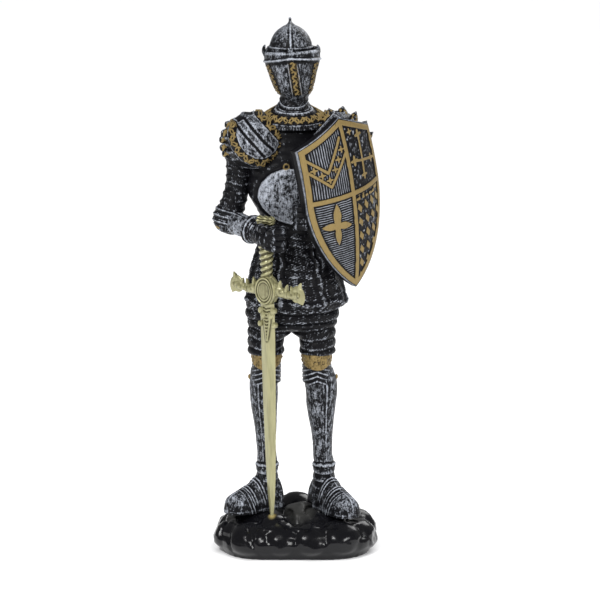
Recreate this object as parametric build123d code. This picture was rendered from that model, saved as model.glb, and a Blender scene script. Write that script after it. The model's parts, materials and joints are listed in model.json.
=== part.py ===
"""A cast and painted miniature of a standing knight on a rock, with a shield and a separate metal sword.

Millimetres. +Z is up and the knight faces -Y, so the knight's own right side is at -X. The origin is
the middle of the rock's flat underside. The castings meet at flat joint faces and are threaded on
steel rods and dowels. The sword stands in a socket in the rock and slides in the closed right fist.
"""

from build123d import *
import math
import os

# ---- Heights, from the ground up -------------------------------------------------------------
BASE_HEIGHT = 13.0        # ground to the soles
SABATON_HEIGHT = 15.0     # sole to the ankle seam
GREAVE_LENGTH = 33.0      # ankle seam to the lower edge of the knee cop
POLEYN_HEIGHT = 6.0       # knee cop
CUISSE_LENGTH = 7.8       # free part of the thigh, up to the crotch
BREECHES_HEIGHT = 9.2     # crotch to the hem of the skirt
SKIRT_LENGTH = 24.0       # hem to the waist
TORSO_LENGTH = 38.2       # waist to the collar
GORGET_HEIGHT = 6.3       # collar
HELMET_HEIGHT = 27.5      # collar to the tip of the spike

SOLE_Z = BASE_HEIGHT
ANKLE_Z = SOLE_Z + SABATON_HEIGHT
KNEE_Z = ANKLE_Z + GREAVE_LENGTH
THIGH_Z = KNEE_Z + POLEYN_HEIGHT
CROTCH_Z = THIGH_Z + CUISSE_LENGTH
HEM_Z = CROTCH_Z + BREECHES_HEIGHT
WAIST_Z = HEM_Z + SKIRT_LENGTH
COLLAR_Z = WAIST_Z + TORSO_LENGTH
NECK_Z = COLLAR_Z + GORGET_HEIGHT

# ---- Rock ------------------------------------------------------------------------------------
BASE_LENGTH = 56.4        # along X, at its widest
BASE_DEPTH = 43.0         # along Y, at its widest
BASE_WIDEST_Z = 4.0       # the rock tucks in below this height
BASE_TOP_Z = 11.6         # open ground round the feet
SEAT_MARGIN = 1.4         # rock showing round each sole

# ---- Legs: the centre lines lean, so each leg has its own -------------------------------------
SHIN_RADII = ((0.0, 3.7), (0.09, 3.2), (0.3, 3.5), (0.52, 4.2), (0.74, 4.95), (0.88, 5.1), (1.0, 5.0))
SHIN_DEPTH_RATIO = 1.14   # a shin is deeper than it is wide
KNEE_RADIUS = 5.25
KNEE_DEPTH = 6.3
KNEE_BULGE = 0.5          # the cop stands out at half its height
THIGH_RADIUS = 6.0
THIGH_DEPTH = 7.2
LEG_LINES = {             # X at the ankle, the calf and the knee, then the foot's direction and length
    "right": {"ankle": -9.9, "calf": -11.0, "knee": -10.0, "splay": -57.0, "foot": 16.3},
    "left": {"ankle": 9.3, "calf": 8.5, "knee": 7.0, "splay": 34.0, "foot": 17.6},
}
ANKLE_Y = 2.0             # ankles stand a little behind the hips
HEEL_LENGTH = 5.6         # behind the ankle's centre
FOOT_HALF_WIDTH = 4.4
TOE_HEIGHT = 5.0

# ---- Trunk: half widths and half depths ------------------------------------------------------
TRUNK_X = -0.8
ROLL_DEPTH = 0.55         # how far a quilted roll stands out
ROLL_PITCH = 3.6
BREECHES_RADIUS = 14.6
BREECHES_DEPTH = 9.6
HEM_RADIUS = 16.9
HEM_DEPTH = 12.4
WAIST_RADIUS = 10.8
WAIST_DEPTH = 7.6
CHEST_RADIUS = 12.4
CHEST_DEPTH = 10.6
SHOULDER_RADIUS = 13.8
SHOULDER_DEPTH = 8.6
COLLAR_RADIUS = 11.6
COLLAR_DEPTH = 10.0
NECK_RADIUS = 5.0
NECK_DEPTH = 5.5

# ---- Helmet ----------------------------------------------------------------------------------
HELMET_RADIUS = 9.6
HELMET_DEPTH = 10.6
HELMET_LEAN = -1.3        # the spike stands this far to the side of the neck
VISOR_THICKNESS = 1.5
VISOR_SPLIT_Y = -0.6      # the visor is in front of this, the back plate behind it
VISOR_TOP = 0.67          # share of the helmet's height
PIVOT_RADIUS = 1.9
PIVOT_THICKNESS = 1.1

# ---- Arms ------------------------------------------------------------------------------------
SHOULDER_OUT = {"right": 19.3, "left": 17.4}   # from the trunk's middle plane
LEFT_SHOULDER_BACK = 2.0
SHOULDER_DROP = 7.5       # below the collar
ARM_RADIUS = 4.6
UPPER_ARM_DROP = 26.2     # shoulder to elbow
ELBOW_RADIUS = 4.6
FOREARM_RADIUS = 3.6
WRIST_RADIUS = 2.9
PAULDRON_SIZE = (9.7, 12.2)    # radius, half depth
PAULDRON_FORWARD = 1.2

# ---- Sword -----------------------------------------------------------------------------------
SWORD_YAW = -38.0         # the sword's flat turns towards the knight's right
BLADE_WIDTH = 6.0
BLADE_THICKNESS = 1.7
GUARD_SPAN = 31.0
GUARD_HEIGHT = 3.4
GUARD_THICKNESS = 2.4
GUARD_DROOP = 5.0         # degrees, each arm
MEDALLION_SIZE = (3.1, 4.9)
MEDALLION_THICKNESS = 3.6
GRIP_LENGTH = 17.6        # guard to pommel
TANG_RADIUS = 0.6
GRIP_TOP_RADIUS = 2.35
GRIP_BOTTOM_RADIUS = 1.55
POMMEL_RADIUS = 3.1
POMMEL_HEIGHT = 3.4
POMMEL_ROOM = 12.0        # height kept clear above the fist
SOCKET_DEPTH = 4.0        # how deep the point stands in the rock
SOCKET_Z = 14.2           # the rock's height there
SWORD_FOOT = (-8.1, -10.5)
SWORD_LIFT = 6.0          # travel

# ---- Right hand ------------------------------------------------------------------------------
FIST_SIZE = (11.4, 8.4)   # length and thickness
LEFT_FIST_SIZE = (8.4, 7.2)
FIST_Z = WAIST_Z + 1.1    # its middle
FIST_XY = (-8.7, -14.5)
GRASP_SHIFT = -1.2        # the sword's axis passes this far from the middle
GUARD_BELOW_FIST = 18.1   # medallion's middle below the fist's
CUFF_LENGTHS = {"right": 4.2, "left": 2.4}
CUFF_RADIUS = 4.6

# ---- Shield ----------------------------------------------------------------------------------
SHIELD_HALF_CHORD = 16.4
SHIELD_SAG = 5.2          # how deeply it is curved from side to side
SHIELD_BULGE = 3.7        # and from top to tip
SHIELD_ARM_GAP = 1.2  # from the shield's rim plane to the forearm
SHIELD_HALF_HEIGHT = 29.7
SHIELD_CORNER_V = 22.3    # the upper corners, above its middle
SHIELD_SIDE_V = 8.0       # where the straight sides end
SHIELD_THICKNESS = 2.2
SHIELD_YAW = 43.0         # it faces outwards
SHIELD_PITCH = -5.0       # its top leans forwards
SHIELD_ROLL = 13.0
SHIELD_CENTRE = (15.7, -12.2)     # middle of the chord between its side edges
SHIELD_Z = WAIST_Z + 12.0
STRAP_PLACES = (3.4, -1.2)   # along the forearm
STRAP_WIDTH = 2.6
STRAP_THICKNESS = 0.9

# ---- Rods, dowels and clearances -------------------------------------------------------------
LEG_ROD_RADIUS = 1.0
SPINE_ROD_RADIUS = 1.2
SHOULDER_DOWEL_RADIUS = 1.0
SMALL_DOWEL_RADIUS = 0.75
SMALL_DOWEL_LENGTH = 4.4
SHOULDER_DOWEL_LENGTH = 14.0
LEG_ROD_IN_SKIRT = 9.0
SPINE_ROD_IN_HELMET = 9.0
DOWEL_INNER = 1.4         # how deep a small dowel sits in the elbow cop or the fist
ROD_CLEARANCE = 0.05
ROD_BOTTOM_Z = 5.0
SEAM_CLEARANCE = 0.12     # between a shell and the casting under it
SWORD_CLEARANCE = 0.35    # in the fist and in the socket

LEG_CASTINGS = ("sabaton", "greave", "poleyn", "cuisse")

pieces = {}


def ellipse_stack(stations, grow=0.0, ruled=False):
    """A solid through horizontal ellipses; each station is (z, x, y, half width, half depth)."""
    faces = [Pos(x, y, z) * Ellipse(a + grow, b + grow) for z, x, y, a, b in stations]
    return loft(faces, ruled=ruled)


def limb(stations, grow=0.0):
    """A round limb through stations of (point, radius), each section square to the limb there."""
    points = [Vector(*point) for point, _ in stations]
    whole = (points[-1] - points[0]).normalized()
    across = Vector(1, 0, 0) if abs(whole.Z) > 0.7 else Vector(0, 0, 1)
    sections = []
    for i, (_, radius) in enumerate(stations):
        ahead = points[min(i + 1, len(points) - 1)] - points[max(i - 1, 0)]
        plane = Plane(origin=points[i], x_dir=across, z_dir=ahead)
        sections.append(plane * Circle(radius + grow))
    return loft(sections)


def rod(start, end, radius):
    """A straight round rod from one point to another."""
    start, end = Vector(*start), Vector(*end)
    plane = Plane(origin=start, z_dir=end - start)
    return plane * Pos(0, 0, (end - start).length / 2) * Cylinder(radius, (end - start).length)


def egg(radius, half_length):
    """A ball stretched along Z: round, with the given radius and half length."""
    angles = [math.radians(angle) for angle in range(-90, 91, 30)]
    points = [(radius * math.cos(a), half_length * math.sin(a)) for a in angles]
    side = Spline(points, tangents=[(1, 0), (-1, 0)])
    return revolve(Plane.XZ * make_face([side, Line(side @ 1, side @ 0)]), Axis.Z, 360)


def beyond(point, direction, reach=80.0):
    """A block that holds everything past a plane, on the side that direction points to."""
    plane = Plane(origin=Vector(*point), z_dir=Vector(*direction))
    return plane * Pos(0, 0, reach / 2) * Box(reach, reach, reach)


def pin_through(names, start, end, radius):
    """Bores the named castings for a rod from start to end, and returns the rod."""
    start, end = Vector(*start), Vector(*end)
    ahead = (end - start).normalized()
    bore = rod(start - ahead * ROD_CLEARANCE, end + ahead * ROD_CLEARANCE, radius + ROD_CLEARANCE)
    for name in names:
        pieces[name] = pieces[name] - bore
    return rod(start, end, radius)


def lerp(a, b, t):
    """The value a share t of the way from a to b."""
    return a + (b - a) * t


# ---- Feet and legs ---------------------------------------------------------------------------
def leg_x(side, share):
    """X of a leg's centre line, from 0 at the ankle to 1 at the knee, through the calf."""
    line = LEG_LINES[side]
    calf_share = SHIN_RADII[4][0]
    if share < calf_share:
        return lerp(line["ankle"], line["calf"], share / calf_share)
    return lerp(line["calf"], line["knee"], (share - calf_share) / (1 - calf_share))


def foot_place(side):
    """The place of a foot: its X runs from the ankle to the toe, and its Z is up from the sole."""
    return Pos(LEG_LINES[side]["ankle"], ANKLE_Y, SOLE_Z) * Rot(0, 0, LEG_LINES[side]["splay"] - 90)


def foot_stations(side):
    """Distance from the ankle, half width and height of a foot's arched sections, heel to toe."""
    toe = LEG_LINES[side]["foot"]
    return (
        (-HEEL_LENGTH, 0.62 * FOOT_HALF_WIDTH, 0.35 * SABATON_HEIGHT),
        (-0.55 * HEEL_LENGTH, 0.9 * FOOT_HALF_WIDTH, 0.72 * SABATON_HEIGHT),
        (0.1 * toe, 0.95 * FOOT_HALF_WIDTH, 0.8 * SABATON_HEIGHT),
        (0.4 * toe, FOOT_HALF_WIDTH, 1.35 * TOE_HEIGHT),
        (0.72 * toe, FOOT_HALF_WIDTH, TOE_HEIGHT),
        (0.93 * toe, 0.72 * FOOT_HALF_WIDTH, 0.75 * TOE_HEIGHT),
        (toe, 0.3 * FOOT_HALF_WIDTH, 0.4 * TOE_HEIGHT),
    )


def arch(distance, half_width, height):
    """A half ellipse standing on the sole, square to the foot."""
    plane = Plane(origin=(distance, 0, 0), x_dir=(0, 1, 0), z_dir=(1, 0, 0))
    top = Edge.make_ellipse(half_width, height, plane=plane, start_angle=0, end_angle=180)
    return Face(Wire([top, Edge.make_line(top @ 1, top @ 0)]))


def sabaton(side):
    """An armoured shoe with the ankle that joins it to the greave."""
    shoe = foot_place(side) * loft([arch(*station) for station in foot_stations(side)])
    x = LEG_LINES[side]["ankle"]
    ankle = ellipse_stack((
        (SOLE_Z + 1.0, x, ANKLE_Y, 0.85 * FOOT_HALF_WIDTH, 0.9 * FOOT_HALF_WIDTH),
        (lerp(SOLE_Z, ANKLE_Z, 0.6), x, ANKLE_Y, 0.8 * FOOT_HALF_WIDTH, 0.95 * FOOT_HALF_WIDTH),
        (ANKLE_Z, x, ANKLE_Y, 0.92 * SHIN_RADII[0][1], SHIN_RADII[0][1] * SHIN_DEPTH_RATIO),
    ))
    return shoe + ankle


def sole_outline(side):
    """The outline of the ground that a foot stands on."""
    toe = LEG_LINES[side]["foot"]
    wide = FOOT_HALF_WIDTH + SEAT_MARGIN
    return Pos((toe - HEEL_LENGTH) / 2, 0) * SlotOverall(toe + HEEL_LENGTH + SEAT_MARGIN, 2 * wide)


def foot_seat(side):
    """The stone that a foot stands on."""
    deep = 0.6 * BASE_HEIGHT
    return foot_place(side) * Pos(0, 0, -deep) * extrude(sole_outline(side), deep)


def greave(side):
    """The shin plate, from the ankle seam to the knee cop."""
    stations = []
    for share, radius in SHIN_RADII:
        y = lerp(ANKLE_Y, 0.0, share) + 0.9 * math.sin(math.pi * share)
        z = lerp(ANKLE_Z, KNEE_Z, share)
        stations.append((z, leg_x(side, share), y, radius, radius * SHIN_DEPTH_RATIO))
    return ellipse_stack(stations)


def poleyn(side):
    """The knee cop, bulging in the middle."""
    x = LEG_LINES[side]["knee"]
    return ellipse_stack((
        (KNEE_Z, x, 0, KNEE_RADIUS, KNEE_DEPTH),
        (lerp(KNEE_Z, THIGH_Z, 0.5), x, 0, KNEE_RADIUS + 0.2 * KNEE_BULGE, KNEE_DEPTH + KNEE_BULGE),
        (THIGH_Z, x, 0, KNEE_RADIUS, KNEE_DEPTH),
    ))


def rolls(low, high, x, y, half_width, half_depth):
    """Stations of a quilted stack of rolls between two heights."""
    count = max(1, round((high - low) / ROLL_PITCH))
    stations = []
    for i in range(2 * count + 1):
        out = ROLL_DEPTH if i % 2 else 0.0
        stations.append((lerp(low, high, i / (2 * count)), x, y, half_width + out, half_depth + out))
    return stations


def cuisse(side):
    """The free part of the thigh."""
    x = LEG_LINES[side]["knee"]
    return ellipse_stack(rolls(THIGH_Z, CROTCH_Z, x, 0, THIGH_RADIUS, THIGH_DEPTH), ruled=True)


# ---- Trunk -----------------------------------------------------------------------------------
def breeches():
    """The quilted hips that both thighs join."""
    stations = rolls(CROTCH_Z, HEM_Z, TRUNK_X - 0.5, 0, BREECHES_RADIUS, BREECHES_DEPTH)
    return ellipse_stack(stations, ruled=True)


def skirt():
    """The mail skirt, flared from the waist to its hem."""
    profile = ((0.0, 0.68), (0.18, 1.0), (0.5, 0.9), (0.72, 0.66), (0.88, 0.28), (1.0, 0.0))
    stations = []
    for share, flare in profile:
        wide = lerp(WAIST_RADIUS, HEM_RADIUS, flare)
        deep = lerp(WAIST_DEPTH, HEM_DEPTH, flare)
        stations.append((lerp(HEM_Z, WAIST_Z, share), lerp(0.1, TRUNK_X, share), 0, wide, deep))
    return ellipse_stack(stations)


def torso_stations():
    """Stations of the breast and back, from the waist to the collar."""
    return (
        (WAIST_Z, TRUNK_X, 0, WAIST_RADIUS, WAIST_DEPTH),
        (lerp(WAIST_Z, COLLAR_Z, 0.14), TRUNK_X, 0, WAIST_RADIUS + 0.1, WAIST_DEPTH + 1.0),
        (lerp(WAIST_Z, COLLAR_Z, 0.3), TRUNK_X, 0, CHEST_RADIUS - 0.9, CHEST_DEPTH - 0.7),
        (lerp(WAIST_Z, COLLAR_Z, 0.5), TRUNK_X, 0, CHEST_RADIUS, CHEST_DEPTH),
        (
            lerp(WAIST_Z, COLLAR_Z, 0.68), TRUNK_X, 0,
            lerp(CHEST_RADIUS, SHOULDER_RADIUS, 0.6), CHEST_DEPTH - 0.5,
        ),
        (lerp(WAIST_Z, COLLAR_Z, 0.84), TRUNK_X, 0, SHOULDER_RADIUS, SHOULDER_DEPTH),
        (lerp(WAIST_Z, COLLAR_Z, 0.94), TRUNK_X, 0, COLLAR_RADIUS, SHOULDER_DEPTH - 0.6),
        (COLLAR_Z, TRUNK_X, 0, COLLAR_RADIUS - 2.0, COLLAR_DEPTH - 2.4),
    )


def gorget(grow=0.0):
    """The collar, a low cone round the neck."""
    return ellipse_stack((
        (COLLAR_Z - grow, TRUNK_X, 0, COLLAR_RADIUS, COLLAR_DEPTH),
        (
            lerp(COLLAR_Z, NECK_Z, 0.3), TRUNK_X, 0,
            lerp(COLLAR_RADIUS, NECK_RADIUS, 0.2), lerp(COLLAR_DEPTH, NECK_DEPTH, 0.2),
        ),
        (
            lerp(COLLAR_Z, NECK_Z, 0.65), TRUNK_X, 0,
            lerp(COLLAR_RADIUS, NECK_RADIUS, 0.65), lerp(COLLAR_DEPTH, NECK_DEPTH, 0.6),
        ),
        (NECK_Z, TRUNK_X, 0, NECK_RADIUS + 0.2, NECK_DEPTH + 0.2),
    ), grow)


# ---- Helmet ----------------------------------------------------------------------------------
def helmet_stations(profile):
    """Stations from (share of the height, share of the width, share of the depth)."""
    return [
        (
            NECK_Z + share * HELMET_HEIGHT, TRUNK_X + share * HELMET_LEAN, 0,
            wide * HELMET_RADIUS, deep * HELMET_DEPTH,
        )
        for share, wide, deep in profile
    ]


SKULL_PROFILE = (
    (0.0, 0.5, 0.5), (0.2, 0.6, 0.64), (0.45, 0.77, 0.82), (0.64, 0.8, 0.86), (0.74, 0.7, 0.77),
    (0.82, 0.54, 0.6), (0.88, 0.33, 0.38), (0.915, 0.14, 0.15), (0.94, 0.08, 0.08), (1.0, 0.02, 0.02),
)
SHELL_PROFILE = (
    (0.04, 0.53, 0.56), (0.1, 0.58, 0.68), (0.2, 0.73, 0.84), (0.32, 0.86, 0.94), (0.46, 0.965, 1.0),
    (0.58, 0.98, 0.99), (VISOR_TOP, 0.9, 0.94),
)


def helmet_shell():
    """The outer wall of the lower helmet, open inside, before it is split at the pivots."""
    inner = ellipse_stack(helmet_stations(SKULL_PROFILE), grow=SEAM_CLEARANCE)
    return ellipse_stack(helmet_stations(SHELL_PROFILE)) - inner


def pivot(side):
    """A round boss where the visor turns on a full-size helmet."""
    share = 0.62
    x = TRUNK_X + share * HELMET_LEAN + side * (HELMET_RADIUS - 0.9)
    place = Pos(x, 0, NECK_Z + share * HELMET_HEIGHT) * Rot(0, 90, 0)
    boss = place * Cylinder(PIVOT_RADIUS, 2 * PIVOT_THICKNESS)
    return boss - ellipse_stack(helmet_stations(SHELL_PROFILE))


# ---- Arms ------------------------------------------------------------------------------------
SHOULDER_POINTS = {
    "right": Vector(TRUNK_X - SHOULDER_OUT["right"], 0, COLLAR_Z - SHOULDER_DROP),
    "left": Vector(TRUNK_X + SHOULDER_OUT["left"], LEFT_SHOULDER_BACK, COLLAR_Z - SHOULDER_DROP),
}
SHIELD_ALONG = Vector(math.cos(math.radians(SHIELD_YAW)), math.sin(math.radians(SHIELD_YAW)), 0)
SHIELD_OUT = Vector(math.sin(math.radians(SHIELD_YAW)), -math.cos(math.radians(SHIELD_YAW)), 0)
SHIELD_MIDDLE = Vector(*SHIELD_CENTRE, SHIELD_Z)
SHIELD_ARM_LINE = SHIELD_MIDDLE - SHIELD_OUT * (FOREARM_RADIUS + SHIELD_ARM_GAP) + Vector(0, 0, -3.5)
ELBOWS = {
    "right": SHOULDER_POINTS["right"] + Vector(-2.6, 1.0, -UPPER_ARM_DROP),
    "left": SHIELD_ARM_LINE + SHIELD_ALONG * 8.6 + Vector(0, 0, 1.8),
}
FIST = Vector(*FIST_XY, FIST_Z)
HANDS = {
    "right": FIST,
    "left": SHIELD_ARM_LINE - SHIELD_ALONG * 10.8,
}
HAND_SEAM = 5.0           # from the hand's middle back to the wrist seam
ELBOW_SEAM = 3.4          # from the elbow's middle to the seams on both sides


def upper_arm_stations(side):
    """Stations of the mail sleeve, from the shoulder's cap to the elbow seam."""
    top = SHOULDER_POINTS[side]
    elbow = ELBOWS[side]
    end = elbow + (top - elbow).normalized() * ELBOW_SEAM
    mid = lerp(top, end, 0.42) + Vector(2.2 if side == "right" else -1.0, 0, 0)
    return (
        (top + Vector(0, 0, 4.6), 0.55 * ARM_RADIUS),
        (top + Vector(0, 0, 2.4), 0.9 * ARM_RADIUS),
        (top, 1.05 * ARM_RADIUS),
        (mid, ARM_RADIUS),
        (lerp(top, end, 0.8), 0.96 * ARM_RADIUS),
        (end, 0.9 * ARM_RADIUS),
    )


def forearm_ends(side):
    """Where a forearm starts and stops, past the elbow and before the hand."""
    elbow, hand = ELBOWS[side], HANDS[side]
    ahead = (hand - elbow).normalized()
    return elbow + ahead * ELBOW_SEAM, hand - ahead * HAND_SEAM, ahead


def couter(side):
    """The elbow cop: a ball cut flat where the sleeve and the forearm meet it."""
    top, elbow = SHOULDER_POINTS[side], ELBOWS[side]
    start, _, ahead = forearm_ends(side)
    up = (top - elbow).normalized()
    ball = Pos(*elbow) * Sphere(ELBOW_RADIUS)
    return ball - beyond(elbow + up * ELBOW_SEAM, up) - beyond(start, ahead)


def vambrace(side, grow=0.0):
    """The forearm plate, or the space that it takes."""
    start, end, _ = forearm_ends(side)
    return limb((
        (start, 0.9 * FOREARM_RADIUS),
        (lerp(start, end, 0.35), FOREARM_RADIUS),
        (lerp(start, end, 0.75), lerp(FOREARM_RADIUS, WRIST_RADIUS, 0.6)),
        (end, WRIST_RADIUS),
    ), grow)


def gauntlet(side, size):
    """A closed fist with a flared cuff that stands round the forearm's end."""
    _, end, ahead = forearm_ends(side)
    hand = HANDS[side]
    fist = Plane(origin=hand, x_dir=(0, 0, 1), z_dir=ahead) * egg(size[1] / 2, size[0] / 2) + limb((
        (end, WRIST_RADIUS),
        (lerp(end, hand, 0.4), WRIST_RADIUS + 0.3),
        (lerp(end, hand, 0.8), WRIST_RADIUS + 0.4),
    ))
    fist = fist - beyond(end, -ahead)
    wall = 0.7
    cuff = limb((
        (end + ahead * 1.4, WRIST_RADIUS + wall), (end, WRIST_RADIUS + wall + 0.2),
        (end - ahead * CUFF_LENGTHS[side], CUFF_RADIUS),
    ))
    hollow = limb((
        (end, WRIST_RADIUS + SEAM_CLEARANCE),
        (end - ahead * 0.5 * CUFF_LENGTHS[side], lerp(WRIST_RADIUS, CUFF_RADIUS, 0.35)),
        (end - ahead * (CUFF_LENGTHS[side] + 0.5), CUFF_RADIUS - 0.25),
    ))
    return fist + (cuff - hollow - vambrace(side, SEAM_CLEARANCE))


def dome_at(centre, radius, half_depth):
    """A rounded boss, round from the front, cut flat at its very top and bottom."""
    x, y, z = centre
    stations = []
    for angle in (-78, -55, -28, 0, 28, 55, 78):
        share = math.cos(math.radians(angle))
        rise = radius * math.sin(math.radians(angle))
        stations.append((z + rise, x, y, radius * share, half_depth * share))
    return ellipse_stack(stations)


def pauldron(side):
    """The shoulder plate, a domed shell that lies on the chest, the shoulder and the sleeve."""
    sign = -1 if side == "right" else 1
    centre = (TRUNK_X + sign * 13.2, -PAULDRON_FORWARD if side == "right" else 0, COLLAR_Z - 6.6)
    size = PAULDRON_SIZE if side == "right" else (PAULDRON_SIZE[0], 0.84 * PAULDRON_SIZE[1])
    dome = dome_at(centre, *size)
    dome = dome - ellipse_stack(torso_stations(), grow=SEAM_CLEARANCE)
    dome = dome - limb(upper_arm_stations(side), grow=SEAM_CLEARANCE)
    return dome - gorget(SEAM_CLEARANCE)


# ---- Sword -----------------------------------------------------------------------------------
SWORD_TIP = Vector(*SWORD_FOOT, SOCKET_Z - SOCKET_DEPTH)
GRASP = FIST + Vector(GRASP_SHIFT, 0, 0)
SWORD_UP = (GRASP - SWORD_TIP).normalized()
SWORD_FLAT = Vector(math.cos(math.radians(SWORD_YAW)), math.sin(math.radians(SWORD_YAW)), 0)
SWORD_PLANE = Plane(origin=SWORD_TIP, x_dir=SWORD_FLAT, z_dir=SWORD_UP)
GUARD_AT = (GRASP - SWORD_TIP).length - GUARD_BELOW_FIST            # up the sword, to the medallion's middle
BLADE_LENGTH = GUARD_AT - MEDALLION_SIZE[1] + 0.6
GRIP_START = GUARD_AT + MEDALLION_SIZE[1] - 0.4
GRIP_END = GRIP_START + GRIP_LENGTH


def diamond(height, width, thickness):
    """A blade section: a flat diamond, square to the sword."""
    half, thin = width / 2, thickness / 2
    return Pos(0, 0, height) * make_face(Polyline((half, 0), (0, thin), (-half, 0), (0, -thin), close=True))


def blade(grow=0.0):
    """The blade, straight for its upper half and tapering to the point."""
    stations = ((0.0, 0.08), (0.06, 0.3), (0.2, 0.62), (0.45, 0.85), (0.75, 0.98), (1.0, 1.0))
    sections = [
        diamond(
            BLADE_LENGTH * at, BLADE_WIDTH * share + 2 * grow,
            BLADE_THICKNESS * lerp(0.5, 1.0, share) + 2 * grow,
        )
        for at, share in stations
    ]
    steel = loft(sections, ruled=True)
    if not grow:
        tang = GRIP_END + 0.6 * POMMEL_HEIGHT - BLADE_LENGTH
        steel = steel + Pos(0, 0, BLADE_LENGTH + tang / 2) * Cylinder(TANG_RADIUS, tang)
    return SWORD_PLANE * steel


def tang_bore():
    """The hole for the tang through the guard, the grip and into the pommel."""
    length = GRIP_END + 0.6 * POMMEL_HEIGHT + ROD_CLEARANCE - BLADE_LENGTH
    return SWORD_PLANE * Pos(0, 0, BLADE_LENGTH + length / 2) * Cylinder(TANG_RADIUS + ROD_CLEARANCE, length)


def guard():
    """The cross-guard: an oval medallion, two drooping arms and a knob at each end."""
    oval = extrude(Ellipse(*MEDALLION_SIZE), MEDALLION_THICKNESS / 2, both=True)
    medallion = Pos(0, 0, GUARD_AT) * Rot(90, 0, 0) * oval
    body = medallion
    reach = GUARD_SPAN / 2
    for sign in (-1, 1):
        turn = Pos(0, 0, GUARD_AT) * Rot(0, sign * GUARD_DROOP, 0)
        arm = Pos(sign * reach / 2, 0, 0) * Box(reach, GUARD_THICKNESS, GUARD_HEIGHT)
        knob = Pos(sign * (reach - 2.4), 0, -0.6) * Rot(90, 0, 0) * extrude(Ellipse(2.4, 3.2), 1.5, both=True)
        body = body + turn * (fillet(arm.edges().filter_by(Axis.X), 0.9) + knob)
    core = Cylinder(GRIP_BOTTOM_RADIUS + 0.2, GRIP_START - BLADE_LENGTH)
    core = Pos(0, 0, (BLADE_LENGTH + GRIP_START) / 2) * core
    lower = Pos(0, 0, BLADE_LENGTH - 40) * Box(BLADE_WIDTH + 2, BLADE_THICKNESS + 4, 80)
    upper = Pos(0, 0, GRIP_START + 40) * Box(2 * POMMEL_RADIUS, 2 * POMMEL_RADIUS, 80)
    return SWORD_PLANE * (body + core - lower - upper)


def grip():
    """The grip, thicker towards the pommel."""
    return SWORD_PLANE * loft([
        Pos(0, 0, GRIP_START) * Circle(GRIP_BOTTOM_RADIUS),
        Pos(0, 0, lerp(GRIP_START, GRIP_END, 0.55)) * Circle(GRIP_TOP_RADIUS),
        Pos(0, 0, GRIP_END) * Circle(GRIP_TOP_RADIUS),
    ], ruled=True)


def pommel():
    """The pommel, a flattened ball on the end of the grip."""
    ball = Pos(0, 0, GRIP_END + POMMEL_HEIGHT / 2) * egg(POMMEL_RADIUS, 0.62 * POMMEL_HEIGHT)
    return SWORD_PLANE * (ball & Pos(0, 0, GRIP_END + 20) * Box(40, 40, 40))


# ---- Shield ----------------------------------------------------------------------------------
def shield_place():
    """The shield's own frame: X along its width, Y up it, Z out of its face."""
    plane = Plane(origin=SHIELD_MIDDLE, x_dir=SHIELD_ALONG, z_dir=SHIELD_OUT)
    return Location(plane) * Rot(-SHIELD_PITCH, 0, 0) * Rot(0, 0, SHIELD_ROLL)


def shield():
    """A heater shield, curved both ways."""
    half, corner, side = SHIELD_HALF_CHORD, SHIELD_CORNER_V, SHIELD_SIDE_V
    top, tip = SHIELD_HALF_HEIGHT, -SHIELD_HALF_HEIGHT
    belly = (0.74 * half, lerp(side, tip, 0.6))
    right = Polyline((0, top), (half - 0.3, corner), (half, side))
    outline = make_face([
        right, ThreePointArc((half, side), belly, (0, tip)),
        ThreePointArc((0, tip), (-belly[0], belly[1]), (-half, side)),
        Polyline((-half, side), (-half + 0.3, corner), (0, top)),
    ])
    blank = Pos(0, 0, -10) * extrude(outline, 30)
    across = (half ** 2 + SHIELD_SAG ** 2) / (2 * SHIELD_SAG)
    upright = (top ** 2 + SHIELD_BULGE ** 2) / (2 * SHIELD_BULGE)
    return shield_place() * (blank & barrel_wall(across, upright))


def barrel_wall(across, upright):
    """A barrel's wall, with the shield's thickness; its middle lies SHIELD_SAG above the origin."""
    reach = 1.3 * SHIELD_HALF_HEIGHT
    drop = upright - math.sqrt(upright ** 2 - reach ** 2)
    outer = ThreePointArc((across - drop, -reach), (across, 0), (across - drop, reach))
    back = across - SHIELD_THICKNESS
    inner = ThreePointArc((back - drop, reach), (back, 0), (back - drop, -reach))
    section = make_face([outer, Line(outer @ 1, inner @ 0), inner, Line(inner @ 1, outer @ 0)])
    wall = revolve(section, Axis.Y, 360)
    return Pos(0, 0, SHIELD_SAG - across) * wall


def strap(distance):
    """A strap round the left forearm, reaching to the shield's inner face."""
    _, _, ahead = forearm_ends("left")
    centre = SHIELD_ARM_LINE + SHIELD_ALONG * distance
    centre = nearest_on_forearm(centre)
    plane = Plane(origin=centre, x_dir=Vector(0, 0, 1), z_dir=ahead)
    inner = FOREARM_RADIUS + SEAM_CLEARANCE
    ring = plane * Cylinder(inner + STRAP_THICKNESS, STRAP_WIDTH)
    tongue = Plane(origin=centre, x_dir=ahead, z_dir=SHIELD_OUT) * Pos(0, 0, 6) * Box(STRAP_WIDTH, 5.0, 12)
    sleeve = limb(upper_arm_stations("left"), grow=SEAM_CLEARANCE)
    return (ring + tongue) - plane * Cylinder(inner, 3 * STRAP_WIDTH) - front_of_shield() - sleeve


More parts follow.
